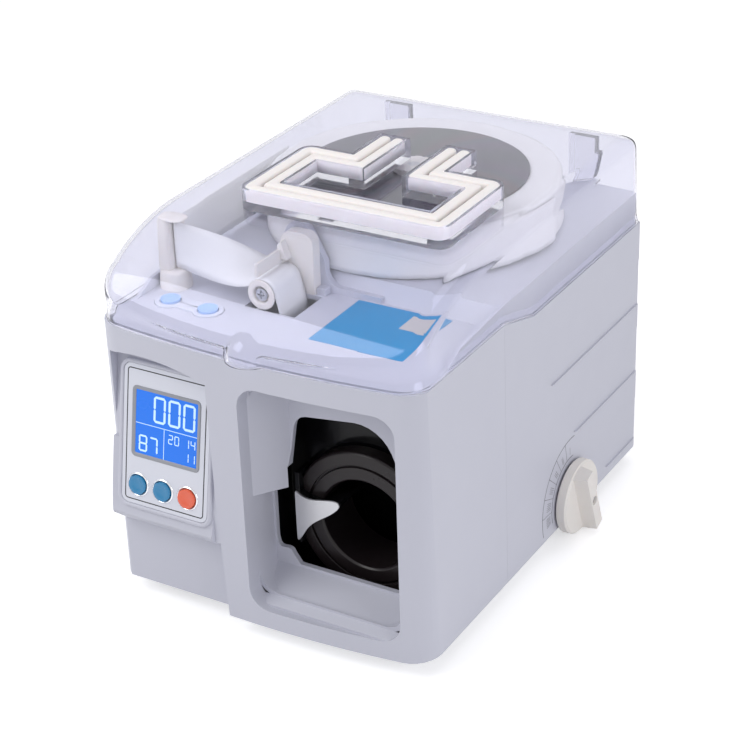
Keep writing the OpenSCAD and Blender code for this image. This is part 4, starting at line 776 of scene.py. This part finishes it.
def web_grid():
    """The tape's middle line and its width direction, joined from six stretches: straight
    run, turn on the pin, quarter twist, wrap over the roller, a curve down, and a drop."""
    mid_z = WEB_LOW + WEB_W / 2
    turn_r = BEND_R + WEB_OFF
    run_x = ROLL_X - ROLL_R - WEB_OFF
    line, wide = [], []
    up_dir, across = np.array([0, 0, 1.0]), np.array([0, 1.0, 0])
    y = np.linspace(ROLL_Y, BEND_Y, 30)
    x = run_x + (BEND_X - turn_r - run_x) * (ROLL_Y - y) / (ROLL_Y - BEND_Y)
    line.append(np.c_[x, y, np.full_like(y, mid_z)])
    wide.append(np.tile(up_dir, (len(y), 1)))
    a = np.radians(np.linspace(180, 270, 14)[1:])
    x, y = BEND_X + turn_r * np.cos(a), BEND_Y + turn_r * np.sin(a)
    line.append(np.c_[x, y, np.full_like(a, mid_z)])
    wide.append(np.tile(up_dir, (len(a), 1)))
    wrap_r = GUIDE_R - 1.4 + WEB_OFF
    touch = math.radians(128)
    begin = np.array([BEND_X, BEND_Y - turn_r, mid_z])
    end_x, end_z = GUIDE_X + wrap_r * math.cos(touch), GUIDE_Z + wrap_r * math.sin(touch)
    end = np.array([end_x, WEB_Y, end_z])
    t = np.linspace(0, 1, 40)[1:-1]
    handle = end - 4.5 * np.array([math.sin(touch), 0, -math.cos(touch)])
    line.append(bezier(begin, begin + (end - begin) * 0.35, handle, end, t))
    lerp = np.c_[np.zeros_like(t), t, 1 - t]
    wide.append(lerp / np.linalg.norm(lerp, axis=1)[:, None] ** 0.75)
    a = np.linspace(touch, math.radians(15), 24)
    x, z = GUIDE_X + wrap_r * np.cos(a), GUIDE_Z + wrap_r * np.sin(a)
    line.append(np.c_[x, np.full_like(a, WEB_Y), z])
    wide.append(np.tile(across, (len(a), 1)))
    last = line[-1][-1]
    t = np.linspace(0, 1, 14)[1:]
    down = np.array([SLOT_X, WEB_Y, SEAM - 8])
    line.append(bezier(last, last + [1.6, 0, -6], down + [0, 0, 5], down, t))
    wide.append(np.tile(across, (len(t), 1)))
    line.append(np.array([[SLOT_X, WEB_Y, SEAM - 16], [SLOT_X, WEB_Y, WEB_END + 0.2]]))
    wide.append(np.tile(across, (2, 1)))
    line, wide = np.concatenate(line), np.concatenate(wide)
    v = np.linspace(-0.5, 0.5, 7)[:, None, None]
    return line[None] + v * WEB_W * wide[None]


grid = web_grid()
web = link_mesh("running_tape", place(grid), ring_faces(*grid.shape[:2], closed=False))
thicken(web, "sheet", 0.00016, 0)
web_paper = moulding("running_paper", (0.84, 0.84, 0.84), 0.7, 320.0, 0.00004, 0.03, glint=0.3)
let_light_in(web_paper, 0.1, (0.001, 0.001, 0.001))
web.data.materials.append(web_paper)
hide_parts("tape_web")
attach(web, "housing")
for name in ("guide_body", "guide_roller"):
    finish_node(name, cream, 0.0008)


def post_grid(stack):
    """Level sections one above the other.  Each is a superellipse with half sizes a and b,
    a power p and a centre, given at a height; a power of 2 is round and 5 nearly square."""
    t = np.linspace(0, 2 * math.pi, 49)[:-1]
    rows = []
    for x, y, z, a, b, p in stack:
        c, s = np.cos(t), np.sin(t)
        across = x + a * np.sign(c) * np.abs(c) ** (2 / p)
        along = y + b * np.sign(s) * np.abs(s) ** (2 / p)
        rows.append(np.c_[across, along, np.full_like(t, z)])
    return np.stack(rows)


# Each row is a height and two half sizes; TIP closes a stack to almost a point.
TIP = 0.1
foot = [(0.02, TIP, TIP), (0.05, 8.0, 7.9), (3, 7.8, 7.7), (8.2, 7.4, 7.3)]
foot += [(9.2, 6.9, 6.8), (9.7, 6.0, 6.0), (9.75, TIP, TIP)]
foot = [(POST_X, POST_Y, SEAM + z, a, b, 2.3) for z, a, b in foot]
upright_x, upright_y = POST_X - 3.2, POST_Y - 0.6
low, high = WEB_LOW - 1.0, WEB_HIGH + 0.5
blade = [
    (upright_x, upright_y, low, TIP, TIP, 4),
    (upright_x, upright_y, low, 3.9, 4.6, 4),
    (upright_x - 0.2, upright_y, low + 13, 3.5, 4.2, 4),
    (upright_x - 0.3, upright_y, WEB_HIGH - 0.5, 3.2, 3.9, 4),
    (upright_x - 0.3, upright_y, WEB_HIGH + 0.3, 2.6, 3.3, 4),
    (upright_x - 0.3, upright_y, WEB_HIGH + 0.45, TIP, TIP, 4),
]
pin = [(low, TIP), (low, BEND_R), (high, BEND_R), (high, TIP)]
pin = [(BEND_X, BEND_Y, z, r, r, 2) for z, r in pin]
cap_x, cap_y = (upright_x + BEND_X) / 2, (upright_y + BEND_Y) / 2
cap = [(0.5, TIP, TIP), (0.5, 7.2, 5.2), (0.8, 7.5, 5.5), (1.3, 7.4, 5.4)]
cap += [(1.6, 6.9, 4.9), (1.65, TIP, TIP)]
cap = [(cap_x, cap_y, WEB_HIGH + z, a, b, 3) for z, a, b in cap]
points, faces = [], []
for part in (foot, blade, pin, cap):
    grid = post_grid(part)
    rows, columns = grid.shape[:2]
    first = list(range(columns))
    ends = [first[::-1], [(rows - 1) * columns + c for c in first]]
    faces += [[v + len(points) for v in f] for f in ring_faces(rows, columns) + ends]
    points += grid.reshape(-1, 3).tolist()
post = link_mesh("tape_post_moulded", place(points), faces)
crisp_edges(post, 48)
post.data.materials.append(cream)
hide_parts("tape_post")
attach(post, "housing")
finish_node("roller_screw", steel, 0.0001)

# ---------------- deck keys and plate
# Two pale blue rubber-topped keys in a figure-of-eight bezel, and a printed blue plate
# stuck on the deck in front of the roll.
pad_skin = moulding("key_bezel", (0.60, 0.62, 0.70), 0.35, 1200.0, 0.000005, 0.02)
key_skin = moulding("key_cap", (0.27, 0.47, 0.83), 0.4, 900.0, 0.000004, 0.03, coat=0.2)
finish_node("key_pad", pad_skin, 0.0003)
for name in ("key_feed", "key_return"):
    finish_node(name, key_skin, 0.0005)


def card_piece(name, x0, x1, y0, y1, z, thick, material, body, slot_name):
    """A flat printed piece on the level face at height z: its plan and thickness in mm."""
    corners = [(x0, y0), (x1, y0), (x1, y1), (x0, y1)]
    points = [(x, y, z + rise) for rise in (thick, 0.01) for x, y in corners]
    sides = [(i, i + 4, (i + 1) % 4 + 4, (i + 1) % 4) for i in range(4)]
    faces = [(0, 1, 2, 3), (7, 6, 5, 4), *sides]
    made = link_mesh(name, place(points), faces, smooth=False)
    made.data.materials.append(material)
    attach(made, body)


blue_print = moulding("blue_print", (0.0, 0.26, 0.54), 0.45, 600.0, 0.000004, 0.03, glint=0.12)
pale_print = moulding("pale_print", (0.55, 0.52, 0.50), 0.35, 600.0, 0.000004, 0.03, coat=0.5)
PLATE_T = 0.15
PLATE_ON = ("housing", "plate")
card_piece("deck_plate", 14, 65, 28.5, 76, SEAM, PLATE_T, blue_print, *PLATE_ON)
card_piece("deck_plate_field", 47, 62, 57, 72, SEAM + PLATE_T, 0.05, pale_print, *PLATE_ON)

# ---------------- control console
# A silvery printed plate in a rounded frame on the sloping console: a blue backlit
# display with plain digits, and three round push buttons in bright bezels.
PANEL_W, PANEL_LEN, PANEL_TILT = 51.5, 73.5, math.radians(10.5)
PANEL_X, PANEL_Z = -HALF_W + 13.2 + PANEL_W / 2, 52.0
LIP_OUT, LIP_H, PANEL_T = 9.6, 44.0, 1.2
PANEL_Y = -LIP_OUT + (PANEL_Z - LIP_H) * math.tan(PANEL_TILT)
LCD_W, LCD_LEN, LCD_S = 38.0, 34.5, 44.0
BUTTON_XS, BUTTON_S = (-15.6, -0.8, 14.0), 10.8


def on_console(points):
    """Console coordinates in mm, across, up the slope and out of it, to the row frame."""
    p = np.asarray(points, float)
    along = np.array([0, math.sin(PANEL_TILT), math.cos(PANEL_TILT)])
    outward = np.array([0, -math.cos(PANEL_TILT), math.sin(PANEL_TILT)])
    base = np.array([PANEL_X, PANEL_Y, PANEL_Z])
    world_mm = base + p[..., :1] * [1, 0, 0] + p[..., 1:2] * along + p[..., 2:] * outward
    return place(world_mm)


def round_rect(w, h, r, n=7):
    """Points round a rectangle w by h about the origin with corner radius r."""
    a = np.radians(np.linspace(0, 90, n))
    quarter = np.c_[np.cos(a), np.sin(a)] * r + [w / 2 - r, h / 2 - r]
    turned = [quarter, quarter[::-1] * [-1, 1], quarter * [-1, -1], quarter[::-1] * [1, -1]]
    return np.concatenate(turned)


def console_piece(name, grid, material, body="housing"):
    """A grid in console coordinates, closed round its columns, as a piece of a body."""
    made = link_mesh(name, on_console(grid), ring_faces(*grid.shape[:2]))
    made.data.materials.append(material)
    crisp_edges(made, 50)
    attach(made, body)


def frame_grid(w, h, r, profile, centre):
    """A closed moulding round a rectangle: each profile point is an inset and a height, and
    the last point joins the first."""
    rings = []
    for inset, height in profile + profile[:1]:
        ring = round_rect(w - 2 * inset, h - 2 * inset, max(r - inset, 0.2)) + centre
        rings.append(np.c_[ring, np.full(len(ring), height)])
    return np.stack(rings)


plate_skin = moulding(
    "printed_plate", (0.64, 0.655, 0.72), 0.38, 1500.0, 0.000004, 0.02, metal=0.25
)
finish_node("panel_plate", plate_skin, 0.00015)
ink = moulding("black_ink", (0.02, 0.02, 0.025), 0.5, 900.0, 0.000003, 0.02)
mid = np.array([0, PANEL_LEN / 2])
line = [(2.1, PANEL_T), (2.1, PANEL_T + 0.05), (2.65, PANEL_T + 0.05), (2.65, PANEL_T)]
console_piece("plate_border", frame_grid(PANEL_W, PANEL_LEN, 4.0, line, mid), ink)
rim = [(-2.6, 0.0), (-2.4, 1.1), (-1.8, 1.75), (-1.0, 1.85), (-0.4, 1.6)]
rim += [(-0.15, 1.2), (-0.15, 0.0)]
console_piece("plate_frame", frame_grid(PANEL_W, PANEL_LEN, 4.0, rim, mid), shell_skin)
bezel = moulding("display_bezel", (0.30, 0.31, 0.34), 0.4, 900.0, 0.000006, 0.02)
rim = [(-1.4, 0.0), (-1.2, 0.35), (-0.5, 0.35), (0.6, -0.2), (0.6, -0.5)]
rim = [(inset, PANEL_T + h) for inset, h in rim]
mid = np.array([0, LCD_S])
console_piece("display_frame", frame_grid(LCD_W, LCD_LEN, 1.2, rim, mid), bezel)


def backlit(name, colour, strength):
    """Backlit display: emission in the colour, which slow noise varies a little, under a
    clear coat."""
    made = moulding(name, colour, 0.25, 2500.0, 0.000002, 0.03, coat=0.35, glint=0.3)
    n, l = made.node_tree.nodes, made.node_tree.links
    shader = n["Principled BSDF"]
    base = shader.inputs["Base Color"].links[0].from_socket
    l.new(base, shader.inputs["Emission Color"])
    set_inputs(shader, {"Emission Strength": strength})
    return made


finish_node("lcd_window", backlit("blue_display", (0.0, 0.125, 0.60), 0.5))
digit_skin = backlit("display_digits", (0.42, 0.60, 0.92), 0.6)
SEGMENTS = {"0": "abcdef", "1": "bc", "2": "abdeg", "4": "bcfg", "7": "abc", "8": "abcdefg"}


def bar(x0, y0, x1, y1, w):
    """Six corners of one display segment from one end to the other, with pointed ends."""
    a, b = np.array([x0, y0]), np.array([x1, y1])
    u = (b - a) / np.linalg.norm(b - a)
    v = np.array([-u[1], u[0]])
    p, q = (u + v) * w / 2, (v - u) * w / 2
    return [a, a + p, b + q, b, b - p, a + (u - v) * w / 2]


def digit(char, x, y, w, h, stroke):
    """The outlines of one seven-segment digit, its lower left corner at x, y."""
    m = h / 2
    ends = ((0, h, w, h), (w, h, w, m), (w, m, w, 0), (0, 0, w, 0), (0, 0, 0, m), (0, m, 0, h))
    spots = dict(zip("abcdefg", (*ends, (0, m, w, m))))
    return [[p + [x, y] for p in bar(*spots[s], stroke)] for s in SEGMENTS[char]]


marks = []
for text, x, y, w, h, gap, stroke in (
    ("000", -7.2, 46.0, 6.0, 12.6, 8.8, 1.25),
    ("87", -15.8, 29.2, 4.2, 7.8, 6.3, 0.95),
    ("20", 1.6, 36.6, 2.3, 4.4, 3.7, 0.5),
    ("14", 11.2, 36.6, 2.3, 4.4, 3.7, 0.5),
    ("11", 11.2, 29.4, 2.3, 4.4, 3.7, 0.5),
):
    for i, char in enumerate(text):
        marks += digit(char, x + i * gap, y, w, h, stroke)
marks.append(bar(-18.4, 43.3, 18.4, 43.3, 0.35))
marks.append(bar(-1.2, 43.0, -1.2, 27.2, 0.35))
MARK_Z, MARK_FILM = 0.93, 0.00002
points = np.array([[*p, MARK_Z] for outline in marks for p in outline])
faces = [list(range(6 * i, 6 * i + 6))[::-1] for i in range(len(marks))]
digits = link_mesh("display_marks", on_console(points), faces, smooth=False)
thicken(digits, "film", MARK_FILM, -1)
digits.data.materials.append(digit_skin)
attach(digits, "housing")

blue_cap = moulding("blue_cap", (0.003, 0.20, 0.42), 0.28, 900.0, 0.000006, 0.03, coat=0.5)
orange_cap = moulding("orange_cap", (0.78, 0.11, 0.04), 0.28, 900.0, 0.000006, 0.03, coat=0.5)
chrome = moulding("bright_bezel", (0.80, 0.81, 0.83), 0.16, 900.0, 0.000003, 0.02, metal=1.0)
finish_node("button_up", blue_cap, 0.0004)
finish_node("button_down", blue_cap, 0.0004)
finish_node("button_function", orange_cap, 0.0004)
a = np.linspace(0, 2 * math.pi, 49)[:-1]
profile = [(5.35, -0.4), (5.35, 0.35), (5.7, 0.55), (6.2, 0.3), (6.35, 0.0), (6.35, -0.4)]
profile += profile[:1]
for name, x in zip(("up", "down", "function"), BUTTON_XS):
    rings = []
    for r, h in profile:
        ring = np.c_[x + r * np.cos(a), BUTTON_S + r * np.sin(a), np.full_like(a, PANEL_T + h)]
        rings.append(ring)
    console_piece("bezel_" + name, np.stack(rings), chrome)

# ---------------- note mouth
# Behind the funnel: a black liner, the dark grey wrapping ring on its drum, and the
# black trough-shaped arm with a bright end face that carries the tape round the notes.
black = moulding(
    "satin_black", (0.004, 0.004, 0.005), 0.2, 900.0, 0.00001, 0.1, coat=0.08, glint=0.16
)
# Painted shade: the ring is coloured near black, darker than its own dark grey, for the shadow
# inside the mouth.
ring_grey_and_shade = moulding(
    "ring_moulding", (0.016, 0.012, 0.013), 0.30, 900.0, 0.00002, 0.08, coat=0.1, glint=0.25
)
bright = moulding("bright_face", (0.62, 0.62, 0.64), 0.30, 900.0, 0.000008, 0.04, metal=0.6)
finish_node("cavity_liner", black, 0.0004)
finish_node("wrap_ring", ring_grey_and_shade, 0.0003)
finish_node("wrap_arm", black, 0.0004)


def soft_outline(corners, count=96, spread=5):
    """A closed outline resampled evenly, then averaged with its neighbours spread times."""
    c = np.asarray(corners, float)
    closed = np.concatenate([c, c[:1]])
    steps = np.linalg.norm(np.diff(closed, axis=0), axis=1)
    length = np.concatenate([[0], np.cumsum(steps)])
    at = np.linspace(0, length[-1], count + 1)[:-1]
    o = np.c_[np.interp(at, length, closed[:, 0]), np.interp(at, length, closed[:, 1])]
    for _ in range(spread):
        o = (np.roll(o, 1, 0) + 2 * o + np.roll(o, -1, 0)) / 4
    return o


ARM_Y = 24.1
tail_x = (4.5, 4.5, 7.6, 11, 14.9, 21, 27.0, 30.2, 30.4, 27.5, 23.5, 18.6, 14.2, 10.6)
tail_x += (8.4, 6.2, 4.6)
tail_z = (46, 63.8, 60.8, 60.0, 60.2, 61.6, 62.9, 62.2, 60.0, 56.8, 53.4, 50.0, 46.6, 42.6)
tail_z += (38.6, 35.2, 33.2)
points, faces = prism(soft_outline(np.c_[tail_x, tail_z]), 1, ARM_Y - 1.0, ARM_Y, 0.2)
tail_face = link_mesh("arm_end_face", place(points), faces, smooth=False)
tail_face.data.materials.append(bright)
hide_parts("arm_cap")
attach(tail_face, next(j["child"] for j in frame["joints"] if j["name"] == "ring_spin"))

# The notes stop against a ribbed black plate behind the ring, on the base plate.
STOP_Y, STOP_FOOT, RIB_XS = 72.0, 1.3, (14, 38, 62)
stops = [(6.0, 86.0, STOP_Y, STOP_Y + 2.0, 74.5)]
stops += [(x, x + 1.6, STOP_Y + 2.0, STOP_Y + 6.0, 68.0) for x in RIB_XS]
for i, (x0, x1, y0, y1, top) in enumerate(stops):
    points, faces = prism([(x0, y0), (x1, y0), (x1, y1), (x0, y1)], 2, STOP_FOOT, top)
    stop = link_mesh(f"note_stop_{i}", place(points), faces, smooth=False)
    stop.data.materials.append(black)
    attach(stop, "housing")
finish_node("ring_housing", black, 0.0004)
finish_node("ring_retainer", steel)

# ---------------- setting knob and dial
# A cream knob with a broad tapered grip on the right side, and a printed scale of six
# fields round its upper left, with plain graduations.
KNOB_Y, KNOB_Z = 157.0, 13.0
finish_node("setting_knob", cream, 0.0007)
finish_node("knob_screw", steel)
DIAL_IN, DIAL_OUT = 22.5, 34.0
dial_ink = moulding("grey_ink", (0.05, 0.05, 0.065), 0.5, 900.0, 0.000003, 0.02)


WALL_LEAN, INK_PROUD, INK_FILM = 1.5, 0.04, 0.00003


def dial_piece(name, outline):
    """A thin printed shape on the right side wall, from an outline in y and z about the
    knob's axis.  The wall leans in by WALL_LEAN mm up to the seam."""
    o = np.asarray(outline, float)
    x = HALF_W - WALL_LEAN * (KNOB_Z + o[:, 1]) / SEAM + INK_PROUD
    points = np.c_[x, KNOB_Y + o[:, 0], KNOB_Z + o[:, 1]]
    made = link_mesh(name, place(points), [list(range(len(o)))], smooth=False)
    thicken(made, "film", INK_FILM, -1)
    made.data.materials.append(dial_ink)
    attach(made, "housing")


def ring_band(r0, r1, start, stop, n=40):
    """Outline of a band between two radii; angles run from the rear up over the top."""
    t = np.radians(np.linspace(start, stop, n))
    unit = np.c_[np.cos(t), np.sin(t)]
    return np.concatenate([r1 * unit, r0 * unit[::-1]])


DIAL_START, DIAL_STOP, FIELDS = 82.0, 196.0, 6
LINE_HALF, MARK_HALF, MARK_STEP = 0.2, 0.22, 2.2
dial_piece("dial_outer_line", ring_band(DIAL_OUT - 0.35, DIAL_OUT, DIAL_START, DIAL_STOP))
dial_piece("dial_inner_line", ring_band(DIAL_IN, DIAL_IN + 0.3, DIAL_START, DIAL_STOP))
step = (DIAL_STOP - DIAL_START) / FIELDS
for i in range(1, FIELDS):
    at = DIAL_START + i * step
    line = ring_band(DIAL_IN, DIAL_OUT, at - LINE_HALF, at + LINE_HALF, 3)
    dial_piece(f"dial_divider_{i}", line)
for i in range(FIELDS):
    for j in range(i + 1):
        at = DIAL_START + (i + 0.5) * step + (j - i / 2) * MARK_STEP
        mark = ring_band(DIAL_IN + 2, DIAL_IN + 6.5, at - MARK_HALF, at + MARK_HALF, 3)
        dial_piece(f"dial_mark_{i}_{j}", mark)

# ---------------- base, rear and mechanism
# Steel base, brackets and fasteners, rubber feet and rollers, drawn-can motors, circuit
# boards, and the rear's socket and switch.  The mechanism is fixed behind the ring and
# under the deck, where little of it shows.
rubber = moulding("moulded_rubber", (0.03, 0.03, 0.033), 0.7, 800.0, 0.00004, 0.1, glint=0.3)
can = moulding("drawn_can", (0.42, 0.42, 0.44), 0.35, 900.0, 0.00001, 0.04, metal=1.0)
brass = moulding("cut_brass", (0.72, 0.52, 0.22), 0.3, 900.0, 0.00001, 0.05, metal=1.0)
laminate = moulding("green_laminate", (0.02, 0.13, 0.05), 0.4, 700.0, 0.00002, 0.1, coat=0.3)
winding = moulding("lacquered_winding", (0.28, 0.12, 0.04), 0.4, 1500.0, 0.00006, 0.15)
plain_black = moulding(
    "black_moulding", (0.014, 0.014, 0.016), 0.45, 900.0, 0.00002, 0.1, glint=0.25
)
red = moulding("red_rocker", (0.5, 0.03, 0.02), 0.3, 900.0, 0.00001, 0.05, coat=0.3)
for names, skin, edge in (
    ("base_plate hinge_pins housing_screws feed_frame seal_lever", steel, 0.0),
    ("lever_pin cutter_blade cutter_guide", steel, 0.0),
    ("rubber_feet", rubber, 0.0006),
    ("feed_roller pinch_roller", rubber, 0.0),
    ("drive_motor feed_motor", can, 0.0004),
    ("drive_pinion heater_block", brass, 0.0),
    ("main_board panel_board key_board setting_control", laminate, 0.0),
    ("transformer", winding, 0.0004),
    ("inlet_socket power_switch lcd_module", plain_black, 0.0003),
    ("switch_rocker", red, 0.0004),
):
    for name in names.split():
        finish_node(name, skin, edge)
